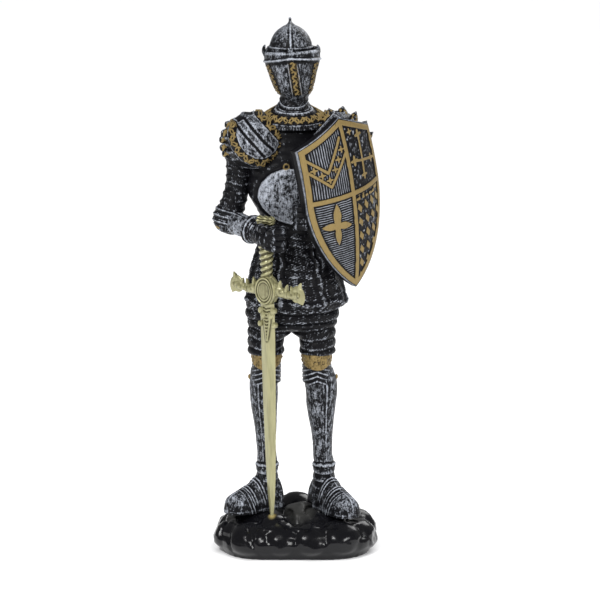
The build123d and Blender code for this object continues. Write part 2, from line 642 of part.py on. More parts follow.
def front_of_shield():
    """Everything from the shield's inner face outwards, to trim what reaches it."""
    half = SHIELD_HALF_CHORD
    across = (half ** 2 + SHIELD_SAG ** 2) / (2 * SHIELD_SAG)
    upright = (SHIELD_HALF_HEIGHT ** 2 + SHIELD_BULGE ** 2) / (2 * SHIELD_BULGE)
    reach = 1.3 * SHIELD_HALF_HEIGHT
    drop = upright - math.sqrt(upright ** 2 - reach ** 2)
    inner = across - SHIELD_THICKNESS
    arc = ThreePointArc((inner - drop, -reach), (inner, 0), (inner - drop, reach))
    axis = Line((0, reach), (0, -reach))
    section = make_face([arc, Line(arc @ 1, axis @ 0), axis, Line(axis @ 1, arc @ 0)])
    inside = Pos(0, 0, SHIELD_SAG - across) * revolve(section, Axis.Y, 360)
    block = Pos(0, 0, 20) * Box(60, 60, 80)
    return shield_place() * (block - inside)


def nearest_on_forearm(point):
    """The point of the left forearm's axis nearest to a point."""
    start, _, ahead = forearm_ends("left")
    return start + ahead * (point - start).dot(ahead)


# ---- Rock ------------------------------------------------------------------------------------
BOULDERS = (              # X, Y, Z and radius
    (-2.0, 12.0, 8.6, 7.6), (11.5, 12.5, 6.5, 7.6), (20.0, 5.0, 5.0, 7.6), (-15.5, 11.5, 5.5, 7.2),
    (19.5, -8.0, 4.6, 7.4), (1.5, -10.5, 5.5, 8.2), (-17.5, -9.5, 3.8, 7.4),
    (SWORD_FOOT[0], SWORD_FOOT[1], SOCKET_Z - 6.0, 6.0),
)


def rounded_slab_section(z, share):
    """A section of the rock, a rounded rectangle that is a share of its widest one."""
    wide, deep = BASE_LENGTH * share, BASE_DEPTH * share
    return Pos(0, 0, z) * RectangleRounded(wide, deep, 0.42 * deep)


def rock():
    """The rock, flat underneath, with a level seat for each foot."""
    body = loft([
        rounded_slab_section(0.0, 0.93), rounded_slab_section(BASE_WIDEST_Z, 1.0),
        rounded_slab_section(lerp(BASE_WIDEST_Z, BASE_TOP_Z, 0.6), 0.95),
        rounded_slab_section(BASE_TOP_Z, 0.83),
    ])
    for x, y, z, radius in BOULDERS:
        body = body + Pos(x, y, z) * Sphere(radius)
    for side in LEG_LINES:
        body = body + foot_seat(side)
    body = body - beyond((0, 0, 0), (0, 0, -1))
    for side in LEG_LINES:
        body = body - foot_clearance(side)
    return body


def foot_clearance(side):
    """The space above a seat, so that no boulder reaches into a shoe."""
    return foot_place(side) * extrude(sole_outline(side), SABATON_HEIGHT)


# ---- Assembly --------------------------------------------------------------------------------
def build_castings():
    """Every casting, before the rods and dowels are bored."""
    pieces["rock_base"] = rock()
    for side in LEG_LINES:
        pieces[f"{side}_sabaton"] = sabaton(side)
        pieces[f"{side}_greave"] = greave(side)
        pieces[f"{side}_poleyn"] = poleyn(side)
        pieces[f"{side}_cuisse"] = cuisse(side)
        sleeve = limb(upper_arm_stations(side))
        pieces[f"{side}_upper_arm"] = sleeve - ellipse_stack(torso_stations(), grow=SEAM_CLEARANCE)
        pieces[f"{side}_couter"] = couter(side)
        pieces[f"{side}_vambrace"] = vambrace(side)
        pieces[f"{side}_pauldron"] = pauldron(side)
    pieces["breeches"] = breeches()
    pieces["mail_skirt"] = skirt()
    pieces["torso"] = ellipse_stack(torso_stations())
    pieces["gorget"] = gorget()
    pieces["helmet_skull"] = ellipse_stack(helmet_stations(SKULL_PROFILE))
    shell = helmet_shell()
    behind = Pos(0, VISOR_SPLIT_Y + 20, NECK_Z) * Box(60, 40, 100)
    pieces["helmet_visor"] = shell - behind
    pieces["helmet_back_plate"] = shell & behind
    pieces["visor_pivots"] = Compound(children=[pivot(-1), pivot(1)])
    pieces["right_gauntlet"] = gauntlet("right", FIST_SIZE)
    pieces["left_gauntlet"] = gauntlet("left", LEFT_FIST_SIZE)
    pieces["shield"] = shield()
    pieces["shield_straps"] = Compound(children=[strap(at) for at in STRAP_PLACES])
    pieces["sword_blade"] = blade()
    pieces["sword_guard"] = guard() - tang_bore()
    pieces["sword_grip"] = grip() - tang_bore()
    pieces["sword_pommel"] = pommel() - tang_bore()
    hole = SWORD_PLANE * Pos(0, 0, GRIP_START) * Cylinder(GRIP_TOP_RADIUS + SWORD_CLEARANCE, 4 * GRIP_LENGTH)
    above = SWORD_PLANE * Pos(0, 0, GRIP_END - SWORD_CLEARANCE + POMMEL_ROOM / 2)
    above = above * Cylinder(POMMEL_RADIUS + SWORD_CLEARANCE, POMMEL_ROOM)
    pieces["right_gauntlet"] = pieces["right_gauntlet"] - hole - above
    pieces["right_vambrace"] = pieces["right_vambrace"] - above
    pieces["rock_base"] = pieces["rock_base"] - Pos(*(-SWORD_UP * SWORD_CLEARANCE)) * blade(SWORD_CLEARANCE)


def join_castings():
    """Bores the castings and adds the rods and dowels that hold them."""
    for side in LEG_LINES:
        line = LEG_LINES[side]
        names = ["rock_base", "breeches", "mail_skirt"] + [f"{side}_{part}" for part in LEG_CASTINGS]
        foot, hip = (line["ankle"], ANKLE_Y, ROD_BOTTOM_Z), (line["knee"], 0, HEM_Z + LEG_ROD_IN_SKIRT)
        pieces[f"{side}_leg_rod"] = pin_through(names, foot, hip, LEG_ROD_RADIUS)
    names = ["breeches", "mail_skirt", "torso", "gorget", "helmet_skull"]
    low, high = (TRUNK_X, 0, CROTCH_Z + 2.0), (TRUNK_X, 0, NECK_Z + SPINE_ROD_IN_HELMET)
    pieces["spine_rod"] = pin_through(names, low, high, SPINE_ROD_RADIUS)
    shoulders, elbows = [], []
    for side in LEG_LINES:
        sign = -1 if side == "right" else 1
        top, elbow = SHOULDER_POINTS[side], ELBOWS[side]
        names = ["torso", f"{side}_pauldron", f"{side}_upper_arm"]
        inner = top - Vector(sign * SHOULDER_DOWEL_LENGTH, 0, 0) + Vector(sign * 2.0, 0, 0)
        shoulders.append(pin_through(names, inner, top + Vector(sign * 2.0, 0, 0), SHOULDER_DOWEL_RADIUS))
        up = (top - elbow).normalized()
        start, end, ahead = forearm_ends(side)
        for names, seam, way in (
            ((f"{side}_upper_arm", f"{side}_couter"), elbow + up * ELBOW_SEAM, up),
            ((f"{side}_couter", f"{side}_vambrace"), start, ahead),
            ((f"{side}_vambrace", f"{side}_gauntlet"), end, -ahead),
        ):
            near = seam - way * DOWEL_INNER
            far = near + way * SMALL_DOWEL_LENGTH
            elbows.append(pin_through(names, near, far, SMALL_DOWEL_RADIUS))
    pieces["shoulder_dowels"] = Compound(children=shoulders)
    pieces["arm_dowels"] = Compound(children=elbows)
    middle = nearest_on_forearm(SHIELD_ARM_LINE + SHIELD_ALONG * sum(STRAP_PLACES) / 2)
    reach = FOREARM_RADIUS + SHIELD_ARM_GAP + SHIELD_SAG - SHIELD_THICKNESS + 1.2
    names = ["left_vambrace", "shield"]
    pieces["shield_peg"] = pin_through(names, middle, middle + SHIELD_OUT * reach, SMALL_DOWEL_RADIUS)


def main():
    os.makedirs("parts", exist_ok=True)
    build_castings()
    join_castings()
    for name, shape in pieces.items():
        export_step(shape, f"parts/{name}.step")
        print(name, len(shape.solids()), round(sum(s.volume for s in shape.solids()), 1))


main()
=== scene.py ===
"""A cast and painted miniature of a knight in plate armour, standing on a rock.

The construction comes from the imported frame. Each casting is skinned here with a finely worked surface that
carries two painted masks, silver and gilt, which its paint finish reads. Sizes in the classes are in
millimetres; meshes are in metres, in the frame's own axes: the knight faces -Y and +Z is up.
"""

import json
import logging
import math
from collections.abc import Callable, Sequence
from dataclasses import dataclass, field
from enum import Enum

import bmesh
import bpy
import numpy as np
from mathutils import Matrix, Vector


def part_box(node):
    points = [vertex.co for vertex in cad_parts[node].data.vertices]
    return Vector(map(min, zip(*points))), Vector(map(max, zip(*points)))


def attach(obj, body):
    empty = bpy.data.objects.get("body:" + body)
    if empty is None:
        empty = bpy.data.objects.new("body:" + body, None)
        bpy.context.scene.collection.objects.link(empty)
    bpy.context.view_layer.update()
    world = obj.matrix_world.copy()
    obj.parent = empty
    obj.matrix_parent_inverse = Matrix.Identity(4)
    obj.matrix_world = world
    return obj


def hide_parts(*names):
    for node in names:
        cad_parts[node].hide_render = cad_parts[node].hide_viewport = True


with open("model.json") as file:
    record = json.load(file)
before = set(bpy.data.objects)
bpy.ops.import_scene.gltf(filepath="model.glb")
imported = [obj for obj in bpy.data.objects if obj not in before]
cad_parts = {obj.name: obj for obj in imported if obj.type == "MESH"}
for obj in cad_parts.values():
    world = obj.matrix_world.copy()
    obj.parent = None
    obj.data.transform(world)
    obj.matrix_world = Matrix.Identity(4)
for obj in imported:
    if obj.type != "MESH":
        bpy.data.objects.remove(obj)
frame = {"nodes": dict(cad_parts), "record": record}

MM = 0.001
SEAM = 1e-6               # metres; nearer points than this are one point
SPIKE_TOP = 180.0         # millimetres from the ground to the helmet's spike
EDGE_RELIEF = 0.25        # millimetres; half of this gives an edge all the silver it can catch
EDGE_REACH = 3            # neighbours each way that an edge is compared with
MASK_LIMITS = {"silver": 0.62, "gilt": 2.0}
log = logging.getLogger("knight")
Array = np.ndarray
Point = tuple[float, float, float]


class Side(Enum):
    """The knight's own right and left, with the sign of X there."""

    RIGHT = -1
    LEFT = 1

    @property
    def word(self) -> str:
        """The side's name as the castings spell it."""
        return self.name.lower()


class Body(Enum):
    """The rigid bodies of the frame."""

    FIGURE = "figure"
    SWORD = "sword"


def casting_box(name: str) -> tuple[Array, Array]:
    """The low and high corners of a casting, in millimetres."""
    low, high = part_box(name)
    return np.array(low) / MM, np.array(high) / MM


# ---- Curves, ramps and grain -----------------------------------------------------------------
def ramp(value: Array, low: float, high: float) -> Array:
    """A smooth step.

    Args:
        value: What is measured.
        low: Where the step starts.
        high: Where it ends; below low, the step goes down.

    Returns:
        0 before the step and 1 after it.
    """
    share = np.clip((value - low) / (high - low), 0.0, 1.0)
    return share * share * (3.0 - 2.0 * share)


def hump(value: Array, centre: float | Array, half: float | Array) -> Array:
    """A smooth hump, 1 at its centre and 0 from half its width away.

    Args:
        value: What is measured.
        centre: The hump's middle.
        half: Half its width.

    Returns:
        The hump's height.
    """
    return ramp(1.0 - np.abs(value - centre) / half, 0.0, 1.0)


def grain(points: Array, size: float, seed: int = 0) -> Array:
    """Smooth random values on a lattice.

    Args:
        points: Places in millimetres, one per row.
        size: Size of the features, in millimetres.
        seed: Chooses the pattern.

    Returns:
        Values between -1 and 1.
    """
    scaled = points / size + 17.31 * (seed + 1)
    cell = np.floor(scaled).astype(np.int64)
    part = scaled - cell
    part = part * part * (3.0 - 2.0 * part)
    total = np.zeros(len(points))
    for corner in range(8):
        step = np.array([(corner >> axis) & 1 for axis in range(3)])
        at = cell + step
        mix = (at[:, 0] * 73856093) ^ (at[:, 1] * 19349663) ^ (at[:, 2] * 83492791) ^ (seed * 2654435)
        mix = ((mix ^ (mix >> 13)) * 1274126177) & 0x7FFFFFFF
        mix = ((mix ^ (mix >> 15)) * 668265263) & 0x7FFFFFFF
        weight = np.prod(np.where(step, part, 1.0 - part), axis=1)
        total += weight * ((mix >> 8 & 0xFFFF) / 32767.5 - 1.0)
    return total


def rough(points: Array, size: float, seed: int = 0, octaves: int = 3) -> Array:
    """Grain with finer grain on it.

    Args:
        points: Places in millimetres.
        size: Size of the largest features.
        seed: Chooses the pattern.
        octaves: How many layers, each half the size of the last.

    Returns:
        Values between about -1 and 1.
    """
    total = np.zeros(len(points))
    for octave in range(octaves):
        total += grain(points, size / 2**octave, seed + 7 * octave) * 0.55**octave
    return total / 1.6


def through(keys: Sequence[float], values: Sequence, at: Array) -> Array:
    """A smooth curve through given values.

    Args:
        keys: Rising positions of the values.
        values: One number or row of numbers per key.
        at: Positions to read.

    Returns:
        The curve's value at each position.
    """
    key = np.asarray(keys, dtype=float)
    value = np.asarray(values, dtype=float)
    slope = np.gradient(value, key, axis=0)
    left = np.clip(np.searchsorted(key, at, side="right") - 1, 0, len(key) - 2)
    gap = key[left + 1] - key[left]
    share = np.clip((at - key[left]) / gap, 0.0, 1.0)
    if value.ndim > 1:
        gap, share = gap[:, None], share[:, None]
    square, cube = share**2, share**3
    return (
        (2 * cube - 3 * square + 1) * value[left]
        + (cube - 2 * square + share) * gap * slope[left]
        + (3 * square - 2 * cube) * value[left + 1]
        + (cube - square) * gap * slope[left + 1]
    )


def path_distance(across: Array, up: Array, path: Sequence[tuple[float, float]]) -> tuple[Array, Array]:
    """How far points of a plane are from a broken line.

    Args:
        across: First coordinate of the points.
        up: Second coordinate.
        path: The line's corners.

    Returns:
        The distance to the line and the length along the line to the nearest place.
    """
    best = np.full(len(across), 1e9)
    along = np.zeros(len(across))
    travelled = 0.0
    for (ax, ay), (bx, by) in zip(path, path[1:]):
        dx, dy = bx - ax, by - ay
        length = math.hypot(dx, dy)
        share = np.clip(((across - ax) * dx + (up - ay) * dy) / length**2, 0.0, 1.0)
        away = np.hypot(across - ax - share * dx, up - ay - share * dy)
        nearer = away < best
        best = np.where(nearer, away, best)
        along = np.where(nearer, travelled + share * length, along)
        travelled += length
    return best, along


def inside(across: Array, up: Array, path: Sequence[tuple[float, float]]) -> Array:
    """Which points of a plane a closed broken line holds.

    Args:
        across: First coordinate of the points.
        up: Second coordinate.
        path: The line's corners; it closes by itself.

    Returns:
        True inside.
    """
    held = np.zeros(len(across), dtype=bool)
    for (ax, ay), (bx, by) in zip(path, [*path[1:], path[0]]):
        crosses = (ay > up) != (by > up)
        rise = by - ay if by != ay else 1e-9
        held ^= crosses & (across < (bx - ax) * (up - ay) / rise + ax)
    return held


def chain_links(along: Array, off: Array, pitch: float, half: float) -> Array:
    """The raised part of a chain of interlocking rings.

    Args:
        along: Length along the chain.
        off: Distance from its middle line.
        pitch: Length of a link.
        half: Half the chain's width.

    Returns:
        1 on the wire of the links, 0 off it.
    """
    wire = np.zeros(len(along))
    for shift in (0.0, 0.5):
        turn = (along / pitch + shift) % 1.0 - 0.5
        ring = np.hypot(turn * 1.5, off / half * 0.8 + 0.18 * (1 if shift else -1))
        wire = np.maximum(wire, hump(ring, 0.62, 0.21))
    return wire


# ---- Worked surfaces -------------------------------------------------------------------------
@dataclass
class Clay:
    """A surface while it is being worked.

    Attributes:
        turn: Angle round the piece, 0 at its front and positive towards its own first axis.
        along: Share of the way from the first to the last station.
        edge: 1 on the sides, falling to 0 at the middle of the end faces.
        place: Positions before the work, in millimetres, in the piece's own axes.
        height: How far the surface stands out, in millimetres.
        silver: How much silver is dry-brushed on.
        gilt: How much gold paint is laid on.
    """

    turn: Array
    along: Array
    edge: Array
    place: Array
    height: Array = field(init=False)
    silver: Array = field(init=False)
    gilt: Array = field(init=False)

    def __post_init__(self) -> None:
        """Starts with a smooth black surface."""
        self.height = np.zeros(len(self.turn))
        self.silver = np.zeros(len(self.turn))
        self.gilt = np.zeros(len(self.turn))

    @property
    def x(self) -> Array:
        """First coordinate of each place."""
        return self.place[:, 0]

    @property
    def y(self) -> Array:
        """Second coordinate of each place."""
        return self.place[:, 1]

    @property
    def z(self) -> Array:
        """Third coordinate of each place."""
        return self.place[:, 2]

    def line(self, value: Array, at: float | Array, half: float, height: float, silver: float = 0.8) -> None:
        """Raises a rib, or cuts a groove.

        Args:
            value: What is measured across the rib.
            at: The rib's middle.
            half: Half its width.
            height: How far it stands out; below 0 it is cut in.
            silver: How much silver it takes, or loses if cut in.
        """
        shape = hump(value, at, half)
        self.height += height * shape
        self.silver += (silver if height > 0 else -silver) * shape

    def lames(self, value: Array, pitch: float, height: float, silver: float = 0.7,
              mottle_and_shade: float = 0.0) -> None:
        """Lays overlapping rows whose lower edges stand out.

        Args:
            value: What is measured across the rows, rising towards the covered edges.
            pitch: Height of a row.
            height: How far a lower edge stands out.
            silver: How much silver the lower edges take.
            mottle_and_shade: How unevenly they take it.
        """
        share = (value / pitch) % 1.0
        lip = ramp(share, 0.0, 0.14) * (1.0 - ramp(share, 0.2, 1.0))
        self.height += height * lip
        uneven = 1.0 + mottle_and_shade * grain(self.place, 2.6, 5)
        self.silver += silver * ramp(lip, 0.45, 1.0) * uneven - 0.25 * silver * (1.0 - ramp(share, 0.0, 0.1))

    def hammered(self, size: float, height: float, silver: float, seed: int = 0) -> None:
        """Roughens the surface, with silver on its high places.

        Args:
            size: Size of the dents.
            height: Their depth.
            silver: How much more silver the high places take.
            seed: Chooses the pattern.
        """
        dents = rough(self.place, size, seed)
        self.height += height * dents
        self.silver += silver * dents


Sculpt = Callable[[Clay], None]


@dataclass
class Pose:
    """Where a piece's own axes lie in the frame.

    Attributes:
        origin: Its origin, in millimetres.
        x: Its first axis.
        z: Its third axis; the second follows from these two.
    """

    origin: Point
    x: Point = (1.0, 0.0, 0.0)
    z: Point = (0.0, 0.0, 1.0)

    def axes(self) -> tuple[Array, Array, Array]:
        """The three axes, each of length 1 and square to the others."""
        up = np.asarray(self.z, dtype=float)
        up = up / np.linalg.norm(up)
        first = np.asarray(self.x, dtype=float)
        first = first - up * first.dot(up)
        first = first / np.linalg.norm(first)
        return first, np.cross(up, first), up

    def to_frame(self, place: Array) -> Array:
        """The frame's coordinates of places in the piece's own axes."""
        first, second, up = self.axes()
        return np.asarray(self.origin) + place[:, :1] * first + place[:, 1:2] * second + place[:, 2:3] * up


UPRIGHT = Pose((0.0, 0.0, 0.0))


@dataclass
class Form:
    """A rounded body swept through stations along a centre line.

    Attributes:
        stations: Rows of x, y, z, half width, depth in front and depth behind, in millimetres.
        across: Direction of the half width.
        level: True if the sections stay level instead of square to the centre line.
        power: 2 for ellipses, more for boxy sections, 1 for diamonds.
        cap: Share of the rows that close each end.
        pose: Where its own axes lie.
    """

    stations: Sequence[Sequence[float]]
    across: Point = (1.0, 0.0, 0.0)
    level: bool = True
    power: float = 2.0
    cap: float = 0.03
    pose: Pose = field(default_factory=lambda: UPRIGHT)

    def lay(self, around: Array, rows: Array) -> Clay:
        """Places the surface's points.

        Args:
            around: Share of the way round, 0 to 1, with the seam at the back.
            rows: Share of the rows, 0 to 1, end caps included.

        Returns:
            The surface, ready to be worked.
        """
        table = np.asarray(self.stations, dtype=float)
        steps = np.linalg.norm(np.diff(table[:, :3], axis=0), axis=1)
        keys = np.concatenate([[0.0], np.cumsum(steps)])
        keys = keys / keys[-1]
        along = np.clip((rows - self.cap) / (1.0 - 2.0 * self.cap), 0.0, 1.0)
        edge = np.clip(np.minimum(rows, 1.0 - rows) / self.cap, 0.0, 1.0)
        read = through(keys, table, along)
        centre = read[:, :3]
        across = np.broadcast_to(np.asarray(self.across, dtype=float), centre.shape)
        if self.level:
            ahead = np.broadcast_to(np.array([0.0, 0.0, 1.0]), centre.shape)
        else:
            ahead = through(keys, table, along + 1e-3)[:, :3] - through(keys, table, along - 1e-3)[:, :3]
            ahead = ahead / np.linalg.norm(ahead, axis=1, keepdims=True)
        across = across - ahead * np.sum(across * ahead, axis=1, keepdims=True)
        across = across / np.linalg.norm(across, axis=1, keepdims=True)
        front = np.cross(across, ahead)
        turn = 2.0 * math.pi * (around - 0.5)
        sine, cosine = np.sin(turn), np.cos(turn)
        bend = 2.0 / self.power
        side = np.sign(sine) * np.abs(sine) ** bend * read[:, 3]
        deep = np.sign(cosine) * np.abs(cosine) ** bend * np.where(cosine > 0, read[:, 4], read[:, 5])
        section = across * side[:, None] + front * deep[:, None]
        return Clay(turn, along, edge, centre + section * edge[:, None])


def cells(name: str, columns: int, rows: int) -> tuple[bpy.types.Mesh, Array, Array, Array]:
    """A flat sheet of cells, to be laid on a form.

    Args:
        name: The mesh's name.
        columns: Cells round the form.
        rows: Cells along it.

    Returns:
        The mesh, each point's share across and share up, and the order that sorts the points into rows.
    """
    bm = bmesh.new()
    bmesh.ops.create_grid(bm, x_segments=columns, y_segments=rows, size=0.5)
    mesh = bpy.data.meshes.new(name)
    bm.to_mesh(mesh)
    bm.free()
    flat = np.empty(len(mesh.vertices) * 3)
    mesh.vertices.foreach_get("co", flat)
    flat = flat.reshape(-1, 3)
    across, up = np.round(flat[:, 0] + 0.5, 6), np.round(flat[:, 1] + 0.5, 6)
    return mesh, across, up, np.lexsort((across, up))


def facing(place: Array, columns: int, closed: bool) -> Array:
    """The outward directions of a sheet's points.

    Args:
        place: Positions, row by row.
        columns: Points in a row.
        closed: True if the first and last point of each row meet.

    Returns:
        Directions of length 1, 0 where the sheet has shrunk to a point.
    """
    net = place.reshape(-1, columns, 3)
    if closed:
        ring = np.concatenate([net[:, -2:-1], net, net[:, 1:2]], axis=1)
        sideways = ring[:, 2:] - ring[:, :-2]
    else:
        sideways = np.gradient(net, axis=1)
    normal = np.cross(sideways, np.gradient(net, axis=0)).reshape(-1, 3)
    length = np.linalg.norm(normal, axis=1, keepdims=True)
    return np.where(length > 1e-9, normal / np.maximum(length, 1e-9), 0.0)


def softened(values: Array, columns: int, reach: int, closed: bool) -> Array:
    """Values averaged over a few neighbours each way.

    Args:
        values: Values, row by row.
        columns: Values in a row.
        reach: How many neighbours each way.
        closed: True if the rows close on themselves.

    Returns:
        The averaged values.
    """
    net = values.reshape(-1, columns)
    total = np.zeros_like(net)
    for step in range(-reach, reach + 1):
        if closed:
            total += np.roll(net[:, :-1], step, axis=1)[:, np.arange(columns) % (columns - 1)]
        else:
            total += net[:, np.clip(np.arange(columns) + step, 0, columns - 1)]
    rows = np.arange(len(net))
    down = np.zeros_like(net)
    for step in range(-reach, reach + 1):
        down += total[np.clip(rows + step, 0, len(net) - 1)]
    return (down / (2 * reach + 1) ** 2).reshape(-1)


def work(name: str, form, columns: int, rows: int, sculpt: Sculpt | None = None, edges: float = 0.7,
         closed: bool = True) -> bpy.types.Mesh:
    """Lays a sheet on a form and works its surface.

    Args:
        name: The mesh's name.
        form: What the sheet is laid on; it has lay() and a pose.
        columns: Cells round the form.
        rows: Cells along it.
        sculpt: Raises the relief and paints it.
        edges: How strongly silver catches on raised edges and leaves the recesses; on the plating, leaving
            the recesses gives painted shade there.
        closed: True if the sheet closes on itself round the form.

    Returns:
        The finished mesh, in the frame's own axes, in metres.
    """
    mesh, across, up, order = cells(name, columns, rows)
    clay = form.lay(across[order], up[order])
    if sculpt:
        sculpt(clay)
    width = len(np.unique(across))
    clay.height *= np.clip(clay.edge * 1.5, 0.0, 1.0)
    outward = facing(clay.place, width, closed)
    place = form.pose.to_frame(clay.place + outward * clay.height[:, None])
    # Silver is added on raised edges and taken off in recesses; on the plated sword the part taken off is
    # painted shade in the recesses.
    proud = clay.height - softened(clay.height, width, EDGE_REACH, closed)
    clay.silver += edges * np.clip(proud / EDGE_RELIEF, -0.5, 0.5)
    flat = np.empty((len(place), 3))
    flat[order] = place * MM
    mesh.vertices.foreach_set("co", flat.reshape(-1))
    for word, values in (("silver", clay.silver), ("gilt", clay.gilt)):
        layer = mesh.attributes.new(word, "FLOAT", "POINT")
        sorted_back = np.empty(len(values))
        sorted_back[order] = np.clip(values, -1.0, MASK_LIMITS[word])
        layer.data.foreach_set("value", sorted_back)
    return close(mesh)


def close(mesh: bpy.types.Mesh) -> bpy.types.Mesh:
    """Merges a mesh's seams and poles, turns it right side out and smooths its shading."""
    bm = bmesh.new()
    bm.from_mesh(mesh)
    bmesh.ops.remove_doubles(bm, verts=bm.verts, dist=SEAM)
    bmesh.ops.dissolve_degenerate(bm, edges=bm.edges, dist=SEAM)
    bmesh.ops.recalc_face_normals(bm, faces=bm.faces)
    for face in bm.faces:
        face.smooth = True
    bm.to_mesh(mesh)
    bm.free()
    return mesh


def piece(name: str, meshes: Sequence[bpy.types.Mesh], finish: bpy.types.Material,
          nodes: Sequence[str] = (), body: Body = Body.FIGURE) -> bpy.types.Object:
    """Makes one piece from worked meshes and fixes it to its body.

    Args:
        name: The piece's name.
        meshes: What it is made of.
        finish: Its material.
        nodes: The castings it stands for.
        body: The body it moves with.

    Returns:
        The piece.
    """
    bm = bmesh.new()
    for mesh in meshes:
        bm.from_mesh(mesh)
    whole = bpy.data.meshes.new(name)
    bm.to_mesh(whole)
    bm.free()
    for mesh in meshes:
        bpy.data.meshes.remove(mesh)
    whole.materials.append(finish)
    thing = bpy.data.objects.new(name, whole)
    bpy.context.scene.collection.objects.link(thing)
    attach(thing, body.value)
    if nodes:
        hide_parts(*nodes)
    log.info("%s: %d faces", name, len(whole.polygons))
    return thing


# ---- Finishes --------------------------------------------------------------------------------
class Bench:
    """A node tree being wired.

    Args:
        tree: The tree.
    """

    def __init__(self, tree: bpy.types.NodeTree) -> None:
        """Keeps the tree."""
        self.tree = tree

    def add(self, kind: str, settings: dict | None = None, **sockets: object) -> bpy.types.Node:
        """Adds a node.

        Args:
            kind: The node's type.
            settings: Its properties.
            sockets: Input sockets by name, with _ for a space; a value, or an output socket to link.

        Returns:
            The node.
        """
        node = self.tree.nodes.new(kind)
        for key, value in (settings or {}).items():
            setattr(node, key, value)
        for key, value in sockets.items():
            self.feed(node, key.replace("_", " "), value)
        return node

    def feed(self, node: bpy.types.Node, socket: str | int, value: object) -> None:
        """Sets or links an input socket.

        Args:
            node: The node.
            socket: The input's name or number.
            value: A value, or an output socket.
        """
        target = node.inputs[socket]
        if isinstance(value, bpy.types.NodeSocket):
            self.tree.links.new(value, target)
        else:
            target.default_value = value

    def sum(self, kind: str, *values: object, clamp: bool = False) -> bpy.types.NodeSocket:
        """A Math node.

        Args:
            kind: The operation.
            values: Its inputs.
            clamp: True to keep the result between 0 and 1.

        Returns:
            The result.
        """
        node = self.add("ShaderNodeMath", {"operation": kind, "use_clamp": clamp})
        for number, value in enumerate(values):
            self.feed(node, number, value)
        return node.outputs[0]

    def plus(self, value: object, other: object, factor: float) -> bpy.types.NodeSocket:
        """A value plus a share of another."""
        return self.sum("ADD", value, self.sum("MULTIPLY", other, factor))

    def mix(self, share: object, first: object, second: object) -> bpy.types.NodeSocket:
        """A colour between two others.

        Args:
            share: How much of the second.
            first: A colour.
            second: Another colour.

        Returns:
            The colour.
        """
        node = self.add("ShaderNodeMix", {"data_type": "RGBA"})
        for number, value in ((0, share), (6, first), (7, second)):
            self.feed(node, number, value)
        return node.outputs[2]

    def noise(self, place: bpy.types.NodeSocket, size: float, detail: float = 3.0) -> bpy.types.NodeSocket:
        """Noise with features of a size in millimetres."""
        return self.add("ShaderNodeTexNoise", None, Vector=place, Scale=1000.0 / size,
                        Detail=detail).outputs["Fac"]


def blank_finish(name: str) -> tuple[bpy.types.Material, Bench, bpy.types.Node]:
    """A new material, the bench of its node tree and its shader."""
    made = bpy.data.materials.new(name)
    made.use_nodes = True
    return made, Bench(made.node_tree), made.node_tree.nodes["Principled BSDF"]


def group(name: str, takes: dict[str, object], gives: dict[str, str]) -> tuple[Bench, dict, bpy.types.Node]:
    """Starts a shader node group.

    Args:
        name: The group's name.
        takes: Inputs: a number's default, or "vector" or "colour".
        gives: Outputs: "value" or "colour".

    Returns:
        The bench, the inputs by name and the output node.
    """
    tree = bpy.data.node_groups.new(name, "ShaderNodeTree")
    kinds = {"vector": "NodeSocketVector", "colour": "NodeSocketColor", "value": "NodeSocketFloat"}
    for word, kind in takes.items():
        number = not isinstance(kind, str)
        socket = tree.interface.new_socket(word, in_out="INPUT",
                                           socket_type=kinds["value" if number else kind])
        if number:
            socket.default_value = kind
    for word, kind in gives.items():
        tree.interface.new_socket(word, in_out="OUTPUT", socket_type=kinds[kind])
    bench = Bench(tree)
    start = bench.add("NodeGroupInput")
    return bench, {word: start.outputs[word] for word in takes}, bench.add("NodeGroupOutput")


def dry_brush_group() -> bpy.types.NodeTree:
    """Black paint with silver dragged over it, and gold paint over both.

    Returns:
        The group. It takes the two painted masks and gives colour, metal, roughness and height.
    """
    takes = {"Place": "vector", "Silver": 0.0, "Gilt": 0.0, "Level": 0.0, "Grain": 0.5, "Patches": 0.4,
             "Black": "colour", "Bright": "colour", "Gold": "colour"}
    gives = {"Color": "colour", "Metal": "value", "Roughness": "value", "Height": "value"}
    bench, take, out = group("dry_brush", takes, gives)
    dots = bench.noise(take["Place"], 0.42, 3.0)
    drawn = bench.add("ShaderNodeMapping", None, Vector=take["Place"],
                      Scale=(1.0, 1.0, 0.25)).outputs["Vector"]
    strokes = bench.noise(drawn, 0.50, 3.0)
    fine = bench.sum("ADD", bench.sum("MULTIPLY", dots, 0.5), bench.sum("MULTIPLY", strokes, 0.6))
    coarse = bench.noise(take["Place"], 2.6, 2.0)
    speckle = bench.sum("MULTIPLY", bench.sum("SUBTRACT", fine, 0.55), take["Grain"])
    patches = bench.sum("MULTIPLY", bench.sum("SUBTRACT", coarse, 0.5), take["Patches"])
    cover = bench.sum("ADD", bench.sum("ADD", take["Silver"], take["Level"]),
                      bench.sum("ADD", speckle, patches))
    cover = bench.sum("MULTIPLY", bench.sum("SUBTRACT", cover, 0.20), 1.45, clamp=True)
    gold = bench.plus(take["Gilt"], speckle, 0.7)
    gold = bench.sum("MULTIPLY", bench.sum("SUBTRACT", gold, 0.42), 2.8, clamp=True)
    under = bench.mix(cover, take["Black"], take["Bright"])
    tone = bench.plus(0.72, fine, 0.55)
    tinted = bench.mix(bench.sum("SUBTRACT", 1.15, tone, clamp=True), take["Gold"], take["Black"])
    bench.feed(out, "Color", bench.mix(gold, under, tinted))
    metal = bench.sum("MAXIMUM", bench.sum("MULTIPLY", cover, 0.40), bench.sum("MULTIPLY", gold, 0.35))
    bench.feed(out, "Metal", metal)
    rough_black = bench.plus(0.34, coarse, 0.16)
    bench.feed(out, "Roughness", bench.plus(rough_black, cover, 0.06))
    bench.feed(out, "Height", bench.plus(fine, cover, 0.6))
    return bench.tree


